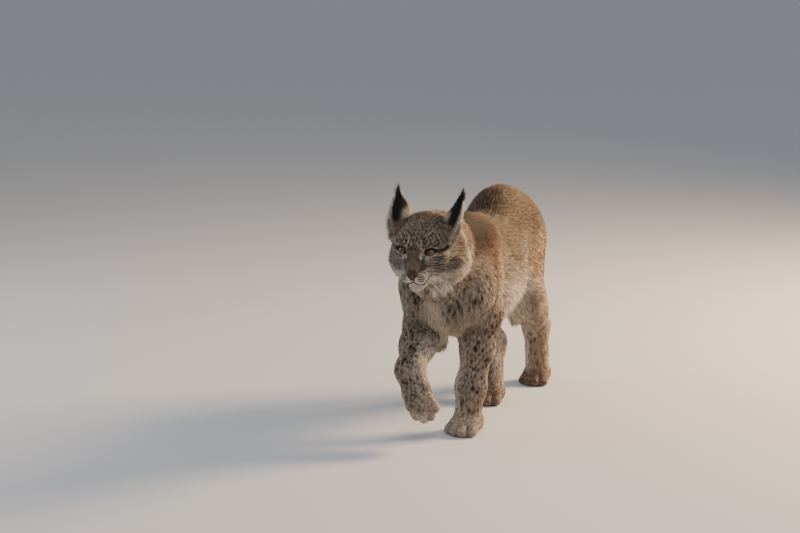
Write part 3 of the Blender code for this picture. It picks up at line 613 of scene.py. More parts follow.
def tube(bm, path, radii, sides=6):
    """A thin round form along a path."""
    rings = []
    for index, point in enumerate(path):
        along = path[min(index + 1, len(path) - 1)] - path[max(index - 1, 0)]
        side = along.cross(Vector((0.13, 0.21, 0.97))).normalized()
        up = side.cross(along).normalized()
        rings.append(
            [
                point + (side * math.cos(math.tau * k / sides) + up * math.sin(math.tau * k / sides)) * radii[index]
                for k in range(sides)
            ]
        )
    lofted(bm, rings)


def on_skin(points, inset):
    """Points of the head's frame brought onto the skin's surface there, that far inside the bare form."""
    points = np.array([HEAD @ Vector(p) for p in points])
    return [Vector(p) for p in settle(points, MASSES, HOLLOWS, inset, 6)]


# ---------------------------------------------------------------- the skin


def remeshed(obj):
    modifier = obj.modifiers.new("skin", "REMESH")
    modifier.mode = "VOXEL"
    modifier.voxel_size = SKIN_VOXEL
    modifier.adaptivity = 0.0
    bpy.context.view_layer.update()
    graph = bpy.context.evaluated_depsgraph_get()
    mesh = bpy.data.meshes.new_from_object(obj.evaluated_get(graph))
    obj.modifiers.clear()
    obj.data = mesh


def face_part(points):
    """1 on the face, where the skin needs fine detail."""
    head = to_head(points)
    ahead = np.clip((-0.012 - head[:, 1]) / 0.012, 0, 1)
    return ahead * (np.abs(head[:, 0]) < 0.075) * (head[:, 2] > -0.105) * (head[:, 2] < 0.060) * (head[:, 1] > -0.16)


def nose_part(points):
    """1 round the nose leather."""
    head = to_head(points)
    return 1.0 * (np.abs(head[:, 0]) < 0.020) * (head[:, 1] < -0.100) * (head[:, 2] > -0.054) * (head[:, 2] < -0.018)


def leather_part(points):
    """1 on the nose leather: broad above, narrowing to the lip."""
    head = to_head(points)
    across, ahead, up = np.abs(head[:, 0]), head[:, 1], head[:, 2]
    wide = 0.0150 - 0.0095 * ramp(up, -0.030, -0.049)
    edge = -0.1140 + 0.40 * across + 0.0100 * ramp(up, -0.027, -0.035)
    shape = ramp(across, wide + 0.0008, wide - 0.0004) * ramp(ahead, edge + 0.0008, edge - 0.0008)
    return shape * ramp(up, -0.0525, -0.0505)


def nostril_part(points):
    """1 in the nostrils: round in front, drawn out into a slit towards the side."""
    head = to_head(points)
    across, up = np.abs(head[:, 0]), head[:, 2]
    front = ramp(head[:, 1], -0.1030, -0.1070)
    hole = np.hypot((across - 0.0072) / 0.0034, (up + 0.0375) / 0.0030)
    slit = np.hypot((across - 0.0115) / 0.0042, (up + 0.0385 - 0.30 * (across - 0.0072)) / 0.0013)
    return ramp(np.minimum(hole, slit), 1.25, 0.70) * front


def from_mouth(head):
    """Distance to the line of the shut mouth, both sides alike."""
    mirrored = np.stack((np.abs(head[:, 0]), head[:, 1], head[:, 2]), 1)
    middle = len(LIPS) // 2
    lines = zip(LIPS[middle:], LIPS[middle + 1 :])
    return np.minimum.reduce([near_line(mirrored, a, b)[0] for a, b in lines])


def sculpted_nose(points):
    """Nostrils, the groove below them, and a rim round the leather."""
    head = to_head(points)
    back = np.array(HEAD.to_3x3() @ Vector((0, 1, 0.1)))
    groove = band(head[:, 0], 0, 0.0011) * ramp(head[:, 2], -0.031, -0.037) * ramp(head[:, 1], -0.100, -0.106)
    swell = leather_part(points) * 0.0010
    mouth = from_mouth(head)
    push = 0.0042 * nostril_part(points) + 0.0016 * groove + 0.0022 * ramp(mouth, 0.0042, 0.0010) - swell
    return points + push[:, None] * back


def make_skin_mesh():
    """One closed skin of the whole animal, a coat's depth inside the solids, finer on the face."""
    bm = bmesh.new()
    for mass in MASSES:
        mass.add_to(bm)
    obj = placed("skin_form", as_mesh(bm, "skin"))
    for rounds in (3, 4):
        remeshed(obj)
        points = triples(obj.data.vertices, "co")
        depth = growth(points, np.zeros_like(points))["depth"]
        set_vertices(obj.data, settle(points, MASSES, HOLLOWS, depth, rounds))
    bm = bmesh.new()
    bm.from_mesh(obj.data)
    bpy.data.objects.remove(obj)
    for part_of in (face_part, face_part, nose_part):
        middles = np.array([face.calc_center_median() for face in bm.faces])
        fine = part_of(middles) > 0.5
        faces = [face for face, wanted in zip(bm.faces, fine) if wanted]
        edges = list({edge for face in faces for edge in face.edges})
        bmesh.ops.subdivide_edges(bm, edges=edges, cuts=1, use_grid_fill=True)
    bmesh.ops.triangulate(bm, faces=bm.faces[:])
    mesh = as_mesh(bm, "skin")
    points = triples(mesh.vertices, "co")
    here = np.nonzero(face_part(points) > 0)[0]
    depth = growth(points[here], np.zeros((len(here), 3)))["depth"]
    points[here] = sculpted_nose(settle(points[here], MASSES, HOLLOWS, depth, 4))
    points[:, 2] = np.maximum(points[:, 2], SOLE)
    set_vertices(mesh, points)
    mesh.shade_smooth()
    return mesh


# ---------------------------------------------------------------- markings


def noise(points, size, seed):
    """Smooth random values from -1 to 1 with that size of blotch, by summing waves in many directions."""
    draw = np.random.default_rng(seed)
    total = np.zeros(len(points))
    for _wave in range(10):
        way = unit(draw.normal(size=3)) * draw.uniform(0.7, 1.5)
        total += np.sin(points @ way * (math.tau / size) + draw.uniform(0, math.tau))
    return total / 4.5


def spot_seeds(points, tris, grown):
    """Places, lies and sizes of the dark spots, spread evenly over the coat, closest on the forehead and legs."""
    draw = np.random.default_rng(7)
    which, shares = scatter(points, tris, np.full(len(points), 0.0036), 5, 1.0)
    places = blend_at(points, tris, which, shares)
    weights = blend_at(grown["weights"], tris, which, shares)
    lie = unit(blend_at(grown["lie"], tris, which, shares))
    part = kinds_of(weights)
    front = (places[:, 1] < -0.12).astype(float)
    raised = front * ramp(places[:, 1], -0.330, -0.375) * ramp(places[:, 2], 0.33, 0.27)
    low = part.forearm + part.shin + (part.paw + part.toe)
    upper = part.neck + part.shoulder + part.sternum + 0.6 * part.nape
    forehead = forehead_part(to_head(places))
    spacing = 0.0250 - 0.0085 * upper - 0.0110 * front * low - 0.0040 * (1 - front) * low
    spacing = mixed(mixed(spacing, 0.0098, raised), 0.0070, forehead)
    spacing = spacing * (0.70 + 0.65 * draw.random(len(places)))
    # Places in random order, each kept if no kept one is too close
    kept = []
    chosen = np.empty((MOST_SPOTS, 3))
    for index in draw.permutation(len(places))[:SPOT_TRIES]:
        count = len(kept)
        if count < MOST_SPOTS:
            near = chosen[:count] - places[index]
            if not count or (near * near).sum(1).min() > spacing[index] ** 2:
                chosen[count] = places[index]
                kept.append(index)
    raised, low, forehead, upper = raised[kept], (front * low)[kept], forehead[kept], upper[kept]
    size = 0.235 * spacing[kept] * (0.60 + 0.95 * draw.random(len(kept)) ** 1.5)
    size = size * (1 + 0.55 * raised + 0.35 * low + 0.55 * forehead + 0.55 * np.minimum(upper, 1))
    stretch = 1.20 + 0.55 * upper + 0.95 * forehead
    return places[kept], lie[kept], size * stretch, size / np.sqrt(stretch)


def forehead_part(head):
    """1 on the forehead and crown."""
    up = ramp(head[:, 2], 0.014, 0.026) * ramp(head[:, 1], 0.060, 0.035)
    return up * ramp(np.abs(head[:, 0]), 0.078, 0.066)


def spot_part(points, seeds, tree):
    """1 inside a dark spot, falling to 0 round it."""
    spots, lies, long, short = seeds
    ratio = np.full(len(points), 9.0)
    near, far = np.zeros(len(points), dtype=int), np.zeros(len(points))
    for index, point in enumerate(points):
        near[index], far[index] = tree.find(point)[1:]
    here = far < 0.02
    away = points[here] - spots[near[here]]
    along = (away * lies[near[here]]).sum(1)
    across = np.sqrt(np.maximum(far[here] ** 2 - along**2, 0))
    ratio[here] = np.hypot(along / long[near[here]], across / short[near[here]])
    return ramp(ratio + 0.38 * noise(points, 0.0065, 5), 1.25, 0.75)


def markings(points, normals, grown, seeds, tree):
    """How pale, warm, dark and black the coat is at the points, each from 0 to 1; the dark layer holds the spots and
    painted shade.
    """
    head = to_head(points)
    body, fringe = 1 - grown["on_head"], grown["fringe"]
    part = kinds_of(grown["weights"])
    x, y, z = points.T
    blotch, fine, salt = noise(points, 0.10, 3), noise(points, 0.03, 4), noise(points, 0.0085, 21)
    outward, forward = np.sign(x - TRUNK_X) * normals[:, 0], -normals[:, 1]
    legs, feet = part.forearm + part.shin, part.paw + part.toe
    trunk, chest = part.trunk + part.belly, part.neck + part.shoulder + part.sternum
    # White below, inside the legs, in front of the thighs and down the middle of the chest
    dusted = 0.78 * ramp(z + 0.022 * blotch + 0.006 * salt, 0.485, 0.360) + 0.40 * salt * ramp(z, 0.35, 0.42)
    middle = band(x - TRUNK_X, -0.020, 0.064) * ramp(forward, 0.1, 0.7)
    inner = ramp(-outward, 0.0, 0.6) * ramp(z, 0.48, 0.36)
    front = ramp(forward, 0.05, 0.6) * ramp(z, 0.47, 0.39) * ramp(z, 0.10, 0.2)
    groin = ramp(forward, -0.25, 0.35) * ramp(z + 0.10 * (y - 0.10), 0.470, 0.410) * ramp(outward, 0.97, 0.70)
    elbow = band(np.linalg.norm(points - np.array(ELBOW_RIGHT), axis=1), 0, 0.050)
    elbow = np.clip(1.6 * elbow, 0, 1) * ramp(-outward, -0.1, 0.4) * ramp(normals[:, 1], -0.5, 0.2)
    raised_tip = feet * ramp(y, -0.40, -0.43) * ramp(x, 0.03, 0.01) * ramp(z, 0.118, 0.098)
    pale = highest(
        trunk * (0.12 + dusted),
        trunk * ramp(-normals[:, 2], 0.0, 0.6) * ramp(z, 0.42, 0.34),
        (0.50 * chest + 0.12 * fine) * ramp(z, 0.60, 0.50),
        0.96 * middle * chest * ramp(z, 0.440, 0.385),
        0.82 * inner * (legs + part.thigh + part.shoulder),
        0.85 * front * ramp(outward, 0.75, 0.35) * (part.thigh + 0.75 * part.shin),
        0.95 * part.belly * ramp(z + 0.02 * blotch, 0.45, 0.37),
        0.92 * groin * ramp(y, -0.02, 0.04) * (part.thigh + part.belly + 0.5 * part.trunk),
        # The hind feet stay less pale than the forefeet as painted shade
        0.36 * legs + feet * (0.12 + 0.34 * ramp(y, 0.05, -0.10)),
        0.80 * raised_tip, 0.95 * elbow, 0.92 * np.clip(1.9 * fringe, 0, 1),
    )
    # Tawny behind the ears, on the back, the rump and the legs' outer sides; painted warm rim light along the
    # shoulder's rear edge
    top = ramp(normals[:, 2], -0.1, 0.7) * (part.trunk + part.thigh)
    rump = ramp(y, 0.18, 0.26) * (part.trunk + part.thigh) * ramp(outward, -0.2, 0.4)
    nape = band(y, -0.32, 0.105) * band(z, 0.590, 0.060) * body
    # The shoulder's rear edge: painted warm rim light
    edge = (part.shoulder + part.neck) * band(y, -0.246, 0.034) * ramp(z, 0.38, 0.45)
    # Tawny upper sides of the neck and shoulders, which the dark layer also darkens as painted shade
    shaded_tawny_cape = (part.shoulder + part.neck) * ramp(z, 0.40, 0.48) * ramp(outward, 0.1, 0.5) * body
    outsides = 0.26 * part.thigh * ramp(outward, 0.2, 0.7) + 0.30 * legs * ramp(outward, -0.1, 0.6)
    warm = 0.20 + 0.14 * blotch + 0.38 * top + 0.24 * rump + 1.4 * nape + edge + outsides + 0.26 * feet + 0.20 * shaded_tawny_cape
    # Less pale on the nape as painted shade, and on the shoulder's rear edge for a deeper painted rim light
    pale = pale * (1 - 0.75 * np.clip(nape + 0.7 * edge, 0, 1))
    # Dark spots, fewer on white; the back and the nape have dark guard hairs, and the rest is salted with them; painted
    # shade is laid in with them
    strength = (
        0.36 * part.trunk + 0.20 * part.belly + part.neck + 0.75 * part.sternum + 0.95 * part.shoulder
        + 0.95 * part.forearm + 0.60 * part.shin + 0.55 * part.thigh + 0.60 * part.paw + 0.25 * part.toe
        + 0.20 * part.tail + 0.45 * part.nape
    )
    off_white = 1 - 0.75 * ramp(pale, 0.6, 0.95)
    strength = strength * off_white + 0.95 * forehead_part(head)
    saddle = (part.trunk + part.thigh + part.neck + part.nape + part.shoulder) * body
    saddle = saddle * ramp(z + 0.012 * blotch, 0.465, 0.560)
    guard = ramp(salt, -0.2, 0.5)
    # Small flecks between the spots on the neck, the shoulders and the forelegs
    flecks = ramp(noise(points, 0.0105, 41) + 0.35 * fine, 0.22, 0.62) * body * (1 - 0.8 * fringe)
    foreparts = part.neck + part.shoulder + 0.8 * part.sternum + 0.8 * part.forearm * ramp(y, -0.1, -0.2)
    # Curved bars inside the lifted foreleg
    lifted = ramp(y, -0.27, -0.30) * ramp(x, 0.0, -0.02) * (part.forearm + part.shoulder) * ramp(-outward, -0.2, 0.3)
    bars = ramp(np.cos((z + 0.25 * (y + 0.36)) * math.tau / 0.026), 0.45, 0.85)
    bars = bars * ramp(z, 0.36, 0.335) * ramp(z, 0.225, 0.25) * ramp(noise(points, 0.022, 15), -0.5, 0.3)
    # A painted shadow in the fold behind each shoulder, where it meets the flank
    fold_shadow = band(y + 0.035 * (x < TRUNK_X), -0.263 + 0.12 * (z - 0.40) + 0.006 * fine, 0.0120)
    fold_shadow = fold_shadow * ramp(z, 0.31, 0.36) * ramp(z, 0.56, 0.50) * ramp(outward, -0.1, 0.3) * body
    spot = highest(
        spot_part(points, seeds, tree) * strength * (1 - 0.85 * fringe) * (1 - 0.8 * elbow),
        # Painted shade here: extra dark on the nape, on the hind feet, and on the upper sides of the neck and shoulders
        saddle * (0.54 + 0.30 * guard) + 0.60 * nape, 0.26 * feet * ramp(y, 0.0, 0.1), shaded_tawny_cape * (0.34 + 0.26 * guard),
        0.52 * trunk * ramp(salt, 0.0, -0.5) * ramp(z, 0.38, 0.44), 0.62 * flecks * foreparts * off_white,
        # Painted shadow in the folds behind the shoulders
        0.50 * bars * lifted, (0.78 + 0.20 * fine) * fold_shadow,
    )
    # Painted shade in the creases between the toes
    paws_here = np.nonzero(feet > 0.35)[0]
    spot[paws_here] = np.maximum(spot[paws_here], 0.60 * toe_crease_shade(points[paws_here]))
    black = ramp(part.tail * ramp(z, 0.450, 0.410), 0.2, 0.7)
    marks = zip(("pale", "warm", "spot", "black"), face_markings(head, grown, part.jaw, pale, warm, spot, black))
    return {key: np.clip(values, 0, 1) for key, values in marks}


EYE_WIDE, EYE_TALL = 0.0122, 0.0079
EYE_OPEN = (0.0368, 0.0098)
LIPS = (
    (-0.0400, -0.0765, -0.0500), (-0.0355, -0.087, -0.0535), (-0.027, -0.099, -0.0580), (-0.012, -0.106, -0.0645),
    (0.000, -0.107, -0.0620), (0.012, -0.106, -0.0645), (0.027, -0.099, -0.0580), (0.0355, -0.087, -0.0535),
    (0.0400, -0.0765, -0.0500),
)
CLEFT = ((0, -0.115, -0.050), (0, -0.111, -0.056), (0, -0.107, -0.0615))


def eye_ratio(head):
    """Places round an eye: outward and upward shares of its opening, and how many openings out they lie."""
    across = np.abs(head[:, 0])
    u = (across - EYE_OPEN[0]) / EYE_WIDE
    v = (head[:, 2] - EYE_OPEN[1] - 0.14 * (across - EYE_OPEN[0])) / EYE_TALL
    return u, v, np.hypot(u, v) + 9.0 * (head[:, 1] > -0.030)


def toe_crease_shade(points):
    """Painted shade where two toes meet: 1 in the crease."""
    away = np.sort(np.stack([mass.distance(points) for mass in MASSES if mass.kind == "toe"], 1), axis=1)
    planted = (points[:, 1] > -0.27) | (points[:, 0] > 0.0)
    reach = np.where(planted, ramp(points[:, 2], 0.040, 0.026), 0.45)
    return reach * band(away[:, 1] - away[:, 0], 0, 0.0042) * ramp(away[:, 0], 0.014, 0.007)


def muzzle_rows(across, ahead, up):
    """Four dotted dark rows along each pad of the muzzle."""
    pads = ramp(across, 0.013, 0.016) * ramp(across, 0.044, 0.039) * ramp(ahead, -0.064, -0.074)
    rows = []
    for row in range(4):
        line = -0.0335 - 0.0052 * row - 0.12 * (across - 0.020)
        beat = 0.5 + 0.5 * np.cos((ahead - 0.5 * across + 0.0021 * row) * math.tau / 0.0085)
        rows.append(band(up, line, 0.0020) * ramp(beat, 0.0, 0.35))
    return highest(*rows) * pads


def face_markings(head, grown, jaw_fur, pale, warm, spot, black):
    """The mask of the face in the head's own frame."""
    across, ahead, up = np.abs(head[:, 0]), head[:, 1], head[:, 2]
    on_head, ruff = grown["on_head"], grown["ruff"]
    face = on_head * ramp(ahead, 0.03, -0.01)
    crown = on_head * ramp(up, 0.035, 0.055) * ramp(ahead, -0.03, 0.0)
    behind = on_head * ramp(ahead, 0.040, 0.080) * ramp(up, -0.070, -0.020)
    warm = warm * (1 - 0.85 * on_head) + 0.40 * crown + 0.60 * behind
    # Dark streaks on the brow, and two pale lines that rise from the inner corners of the eyes
    brow = forehead_part(head) * on_head
    streaks = noise(head * np.array((1.0, 0.36, 0.36)), 0.0058, 13)
    rise = band(across, 0.0240 - 0.30 * (up - 0.012), 0.0017) * ramp(up, 0.014, 0.020) * ramp(up, 0.050, 0.040) * face
    pale = highest(mixed(pale, 0.20, on_head) * (1 - 0.5 * behind), 0.26 * brow, 0.75 * rise)
    spot = highest(spot, 0.34 * crown, 0.36 * behind, brow * (0.14 + 0.80 * ramp(streaks, 0.02, 0.38)))
    # Brown bridge, darker down its sides
    wide = 0.0215 + 0.0100 * ramp(up, 0.000, -0.020)
    bridge = ramp(across, wide + 0.006, wide - 0.008) * ramp(ahead, -0.048, -0.062) * ramp(up, -0.031, -0.024)
    bridge = bridge * ramp(up, 0.034, 0.010)
    shade = 0.10 + 0.40 * band(across, wide - 0.006, 0.006) + 0.20 * ramp(streaks, -0.1, 0.5)
    spot = spot * (1 - 0.8 * rise) * (1 - 0.7 * bridge * ramp(up, 0.012, 0.002))
    bridge = bridge * face
    spot = np.maximum(spot, shade * bridge)
    warm, pale = warm * (1 - 0.45 * bridge), pale * (1 - 0.8 * bridge)
    # White line below and inside each eye, black rims, a dark streak back from the outer corner, a tear line
    u, v, ratio = eye_ratio(head)
    ring = band(ratio, 1.60, 0.21) * np.maximum(ramp(v, 0.30, -0.25), 0.6 * ramp(u, 0.10, -0.40) * ramp(v, 1.3, 0.8))
    upper = band(ratio, 1.50, 0.14) * ramp(v, 0.2, 0.7)
    clear = 1 - ramp(ratio, 1.85, 1.6) * face
    far, t = near_line(np.stack((ahead, up), 1), (-0.074, 0.0125), (-0.019, 0.0005))
    streak = ramp(far, 0.0064 - 0.0018 * t, 0.0030) * ramp(t, 1.0, 0.85) * ramp(across, 0.044, 0.048)
    front_plane = np.stack((across, up), 1)
    tear = near_line(front_plane, (0.0250, 0.0060), (0.0235, -0.0100))[0]
    lower_tear = near_line(front_plane, (0.0235, -0.0100), (0.0190, -0.0250))[0]
    mouth = np.ones(len(head))
    close = (ahead < -0.045) & (up < -0.045)
    mouth[close] = from_mouth(head[close])
    rim = highest(
        ramp(ratio, 1.26, 1.14), 0.95 * streak, 0.70 * ramp(tear, 0.0036, 0.0014),
        0.42 * ramp(lower_tear, 0.0040, 0.0014), 0.90 * muzzle_rows(across, ahead, up),
    )
    black = highest(black, rim * face, 0.95 * ramp(mouth, 0.0046, 0.0024))
    # White muzzle and chin, and a dark wing beside the nose
    muzzle = ramp(up, -0.028, -0.034) * ramp(ahead, -0.055, -0.070) * ramp(across, 0.050, 0.042)
    chin = ramp(up, -0.058, -0.064) * ramp(ahead, 0.005, -0.020) * ramp(across, 0.060, 0.044)
    wing = ramp(across, 0.0125, 0.015) * ramp(across, 0.036, 0.026)
    wing = wing * band(up, -0.0275, 0.0034) * ramp(ahead, -0.078, -0.088)
    # Cheeks: grey with thin dark stripes that sweep back, a brown band down the jaw, cream ends of the ruff
    cheek = ramp(across, 0.036, 0.048) * ramp(up, 0.010, -0.002) * ramp(up, -0.070, -0.056)
    cheek = cheek * on_head * ramp(ahead, 0.055, 0.025) * ramp(ratio, 1.8, 2.2)
    sweep = up + 0.30 * (ahead + 0.03) + 0.0016 * np.sin(ahead * 260)
    stripe = ramp(np.cos(sweep * math.tau / 0.0076), 0.10, 0.60) * ramp(noise(head, 0.024, 9), -1.3, -0.5)
    temple = ramp(across, 0.052, 0.064) * band(ahead, 0.012, 0.024) * ramp(up, -0.050, -0.035) * on_head
    low = ramp(up, -0.040, -0.060) * on_head * ramp(across, 0.020, 0.034)
    jaw = band(up + 0.75 * (ahead - 0.012), -0.060, 0.0065) * ramp(across, 0.050, 0.060) * on_head
    ends = np.maximum(ramp(up, -0.055, -0.078), ramp(ahead, 0.032, 0.052))
    pale = highest(
        pale * clear, np.maximum(ring, 0.45 * upper) * face, 0.66 * muzzle * face, 0.96 * chin * face, 0.34 * cheek,
        0.88 * low * ramp(up, -0.044, -0.060), 0.92 * jaw_fur * ramp(up, -0.050, -0.066) * ramp(ahead, 0.075, 0.050),
        ruff * ends * (0.92 - 0.45 * jaw),
    )
    spot = highest(
        spot * clear, 0.75 * wing * face, 0.90 * stripe * cheek,
        temple * (0.28 + 0.5 * ramp(noise(head, 0.008, 19), 0.0, 0.5)), 0.45 * jaw,
    )
    return pale, warm, spot, black


# ---------------------------------------------------------------- materials


def linear(hex_colour):
    """An sRGB hex colour as the linear values that a shader takes."""
    values = [int(hex_colour[i : i + 2], 16) / 255 for i in (1, 3, 5)]
    return [v / 12.92 if v <= 0.04045 else ((v + 0.055) / 1.055) ** 2.4 for v in values] + [1.0]


def add(material, kind, links=None, **settings):
    """Adds a node; links gives each input a (node, output) to link, a hex colour or a number."""
    tree = material.node_tree
    node = tree.nodes.new(kind)
    for key, value in settings.items():
        setattr(node, key, value)
    for key, value in (links or {}).items():
        if isinstance(value, tuple):
            tree.links.new(value[0].outputs[value[1]], node.inputs[key])
        else:
            node.inputs[key].default_value = linear(value) if isinstance(value, str) else value
    return node


def new_material(name, **sockets):
    material = bpy.data.materials.new(name)
    material.use_nodes = True
    shader = material.node_tree.nodes["Principled BSDF"]
    for key, value in sockets.items():
        shader.inputs[key.replace("_", " ")].default_value = value
    return material, shader


def layered(material, colour, layers):
    """Lays colours over one another, each by its own factor (node, output)."""
    for factor, over in layers:
        mix = add(material, "ShaderNodeMix", data_type="RGBA")
        tree = material.node_tree
        tree.links.new(factor[0].outputs[factor[1]], mix.inputs[0])
        for socket, value in ((6, colour), (7, over)):
            if isinstance(value, str):
                mix.inputs[socket].default_value = linear(value)
            else:
                tree.links.new(value[0].outputs[value[1]], mix.inputs[socket])
        colour = (mix, 2)
    return colour


def coat_material(name, tips, dark_root, bare=False):
    """Guard hairs over underfur: matt keratin with a faint sheen, each tuft darker at its root and pale at its tip."""
    material, shader = new_material(name, Roughness=0.70)
    shader.inputs["Specular IOR Level"].default_value = 0.25
    shader.inputs["Sheen Weight"].default_value = 0.15
    shader.inputs["Sheen Roughness"].default_value = 0.45
    shader.inputs["Sheen Tint"].default_value = linear("#e8d8c4")
    marks = {
        key: (add(material, "ShaderNodeAttribute", attribute_name=key), "Fac")
        for key in ("pale", "warm", "spot", "black", "along", "vary", "leather")
    }
    # Agouti tips: some of the hairs end pale, others stay dark to the end
    bright = add(material, "ShaderNodeMath", {0: marks["along"], 1: marks["vary"]}, operation="MULTIPLY")
    tip = add(material, "ShaderNodeMapRange", {0: (bright, 0), 1: 0.36, 2: 0.68, 3: 0.0, 4: tips})
    calm = add(material, "ShaderNodeMapRange", {0: marks["warm"], 1: 0.5, 2: 1.0, 3: 1.0, 4: 0.30})
    tip = add(material, "ShaderNodeMath", {0: (tip, 0), 1: (calm, 0)}, operation="MULTIPLY")
    root = add(material, "ShaderNodeMapRange", {0: marks["along"], 1: 0.0, 2: 0.55, 3: dark_root, 4: 0.0})
    colour = layered(
        material, "#6d5c4d",
        (
            (marks["warm"], "#824516"), ((root, 0), "#46352c"), (marks["pale"], "#ddd3c6"), ((tip, 0), "#d2c0a6"),
            # The dark layer: the spots, and painted shade on the nape, the sides of the neck and shoulders, the hind
            # feet, the shoulder folds and the toes' creases
            (marks["spot"], "#24170f"), (marks["black"], "#0d0b0b"),
        ),
    )
    # Tufts differ in lightness from one to the next
    tone = add(material, "ShaderNodeMapRange", {0: marks["vary"], 3: 0.38, 4: 1.40})
    toned = add(material, "ShaderNodeHueSaturation", {"Color": colour, "Value": (tone, 0)})
    colour = (toned, "Color")
    if bare:
        # Nose leather and lips: bare, pinkish brown, a little wet
        colour = layered(material, colour, ((marks["leather"], "#3d2d27"),))
        gloss = add(material, "ShaderNodeMapRange", {0: marks["leather"], 3: 0.70, 4: 0.38})
        material.node_tree.links.new(gloss.outputs[0], shader.inputs["Roughness"])
        place = add(material, "ShaderNodeTexCoord")
        grain = add(material, "ShaderNodeTexNoise", {"Vector": (place, "Object"), "Scale": 700.0, "Detail": 3.0})
        bump = add(material, "ShaderNodeBump", {"Height": (grain, 0), "Strength": 0.35, "Distance": 0.0012})
        material.node_tree.links.new(bump.outputs[0], shader.inputs["Normal"])
    material.node_tree.links.new(colour[0].outputs[colour[1]], shader.inputs["Base Color"])
    return material


# ---------------------------------------------------------------- the coat


def scatter(points, tris, gap, seed, share=TUFT_SHARE):
    """Even places on the triangles, about a gap apart: triangle numbers and the three corners' shares."""
    draw = np.random.default_rng(seed)
    a, b, c = (points[tris[:, i]] for i in range(3))
    area = np.linalg.norm(np.cross(b - a, c - a), axis=1) / 2
    wanted = area / (gap[tris].mean(1) ** 2) * share
    count = np.floor(wanted + draw.random(len(wanted))).astype(int)
    which = np.repeat(np.arange(len(tris)), count)
    first = np.cumsum(count) - count
    turn = np.arange(len(which)) - np.repeat(first, count)
    start = np.repeat(draw.random((len(tris), 2)), count, axis=0)
    u = (start[:, 0] + 0.7548776662 * turn) % 1.0
    v = (start[:, 1] + 0.5698402910 * turn) % 1.0
    flip = u + v > 1
    u[flip], v[flip] = 1 - u[flip], 1 - v[flip]
    return which, np.stack((1 - u - v, u, v), 1)


def blend_at(values, tris, which, shares):
    corners = values[tris[which]]
    if corners.ndim == 3:
        return np.einsum("nij,ni->nj", corners, shares)
    return (corners * shares).sum(1)


def tuft_arrays(tufts, bow, rings):
    """Corners, faces, soft normals and the share along the tuft, for blades of four faces or locks of ten."""
    roots, normals, lie = tufts["roots"], tufts["normals"], tufts["lie"]
    lift = tufts["lift"][:, None]
    lie = unit(lie - (lie * normals).sum(1)[:, None] * normals)
    way = unit(lie * np.cos(lift) + normals * np.sin(lift))
    side = unit(np.cross(way, normals))
    out = unit(np.cross(side, way))
    reach, half = tufts["length"][:, None], (tufts["width"] / 2)[:, None]
    base = roots - normals * 0.0012 - way * 0.0008
    left, right = base - side * half, base + side * half
    if rings:
        middle = base + way * reach * 0.45 + out * bow * reach * 0.75
        thick = half * 0.75
        corners = (
            left, right, base + out * thick,
            middle - side * half * 0.80, middle + side * half * 0.80, middle + out * thick * 0.8,
            base + way * reach - out * bow * reach * 0.35,
        )
        faces, along = LOCK_FACES, (0.0, 0.0, 0.0, 0.45, 0.45, 0.45, 1.0)
        soft = (
            normals * 1.4 - side, normals * 1.4 + side, normals * 1.4 + out, normals * 1.3 - side,
            normals * 1.3 + side, normals * 1.3 + out, normals + way * 0.8,
        )
    else:
        corners = (
            left, right, base + way * reach * 0.40 + out * (bow * reach * 0.55 + half * 0.5),
            base + way * reach - out * bow * reach * 0.30,
        )
        faces, along = BLADE_FACES, (0.0, 0.0, 0.40, 1.0)
        soft = (normals * 1.5 - side, normals * 1.5 + side, normals * 1.4 + out, normals * 1.2 + way * 0.7)
    steps = (np.arange(len(roots)) * len(along))[:, None, None]
    return (
        np.stack(corners, 1).reshape(-1, 3), (np.array(faces)[None] + steps).reshape(-1, 3),
        unit(np.stack(soft, 1)).reshape(-1, 3), np.array(along),
    )


def unwrapped(roots, axis_from, axis_to):
    """Where roots lie on a cylinder wrapped round the axis: across by the turn, up by the way along."""
    a, b = np.array(axis_from), np.array(axis_to)
    along = unit(b - a)
    side = unit(np.cross(along, (0.31, 0.2, 0.93) if abs(along[2]) < 0.9 else (1.0, 0.1, 0.0)))
    up = np.cross(along, side)
    away = roots - a
    turn = np.arctan2(away @ side, away @ up) / math.tau + 0.5
    height = away @ along
    height = (height - height.min()) / max(float(np.ptp(height)), 1e-9)
    return np.stack((0.01 + 0.98 * turn, 0.01 + 0.98 * height), 1)


def coat_piece(name, tufts, marks, material, axis, rings=False, bow=0.16):
    """A mesh of tufts with their marks and, for the bake, each tuft's patch at its root's place on the unwrap."""
    corners, faces, soft, along = tuft_arrays(tufts, bow, rings)
    per, count = len(along), len(tufts["roots"])
    mesh = bpy.data.meshes.new(name)
    mesh.vertices.add(len(corners))
    mesh.loops.add(faces.size)
    mesh.polygons.add(len(faces))
    mesh.vertices.foreach_set("co", corners.astype(np.float32).ravel())
    mesh.loops.foreach_set("vertex_index", faces.ravel().astype(np.int32))
    mesh.polygons.foreach_set("loop_start", (np.arange(len(faces)) * 3).astype(np.int32))
    mesh.polygons.foreach_set("loop_total", np.full(len(faces), 3, dtype=np.int32))
    mesh.update(calc_edges=True)
    outer = (along > 0.7).astype(int)
    for key, values in (*marks.items(), ("vary", tufts["vary"])):
        set_values(mesh, key, values[:, outer].ravel() if values.ndim == 2 else np.repeat(values, per))
    set_values(mesh, "along", np.tile(along, count))
    centre = np.repeat(unwrapped(tufts["roots"], *axis), per, axis=0)
    spread = np.stack((np.tile(np.linspace(-0.5, 0.5, per), count), np.tile(along - 0.5, count)), 1)
    uv = (centre + spread * PATCH)[faces.ravel()]
    mesh.uv_layers.new(name="OFBake").data.foreach_set("uv", uv.astype(np.float32).ravel())
    mesh.shade_smooth()
    mesh.normals_split_custom_set_from_vertices(soft.astype(np.float32))
    piece(name, mesh, material)


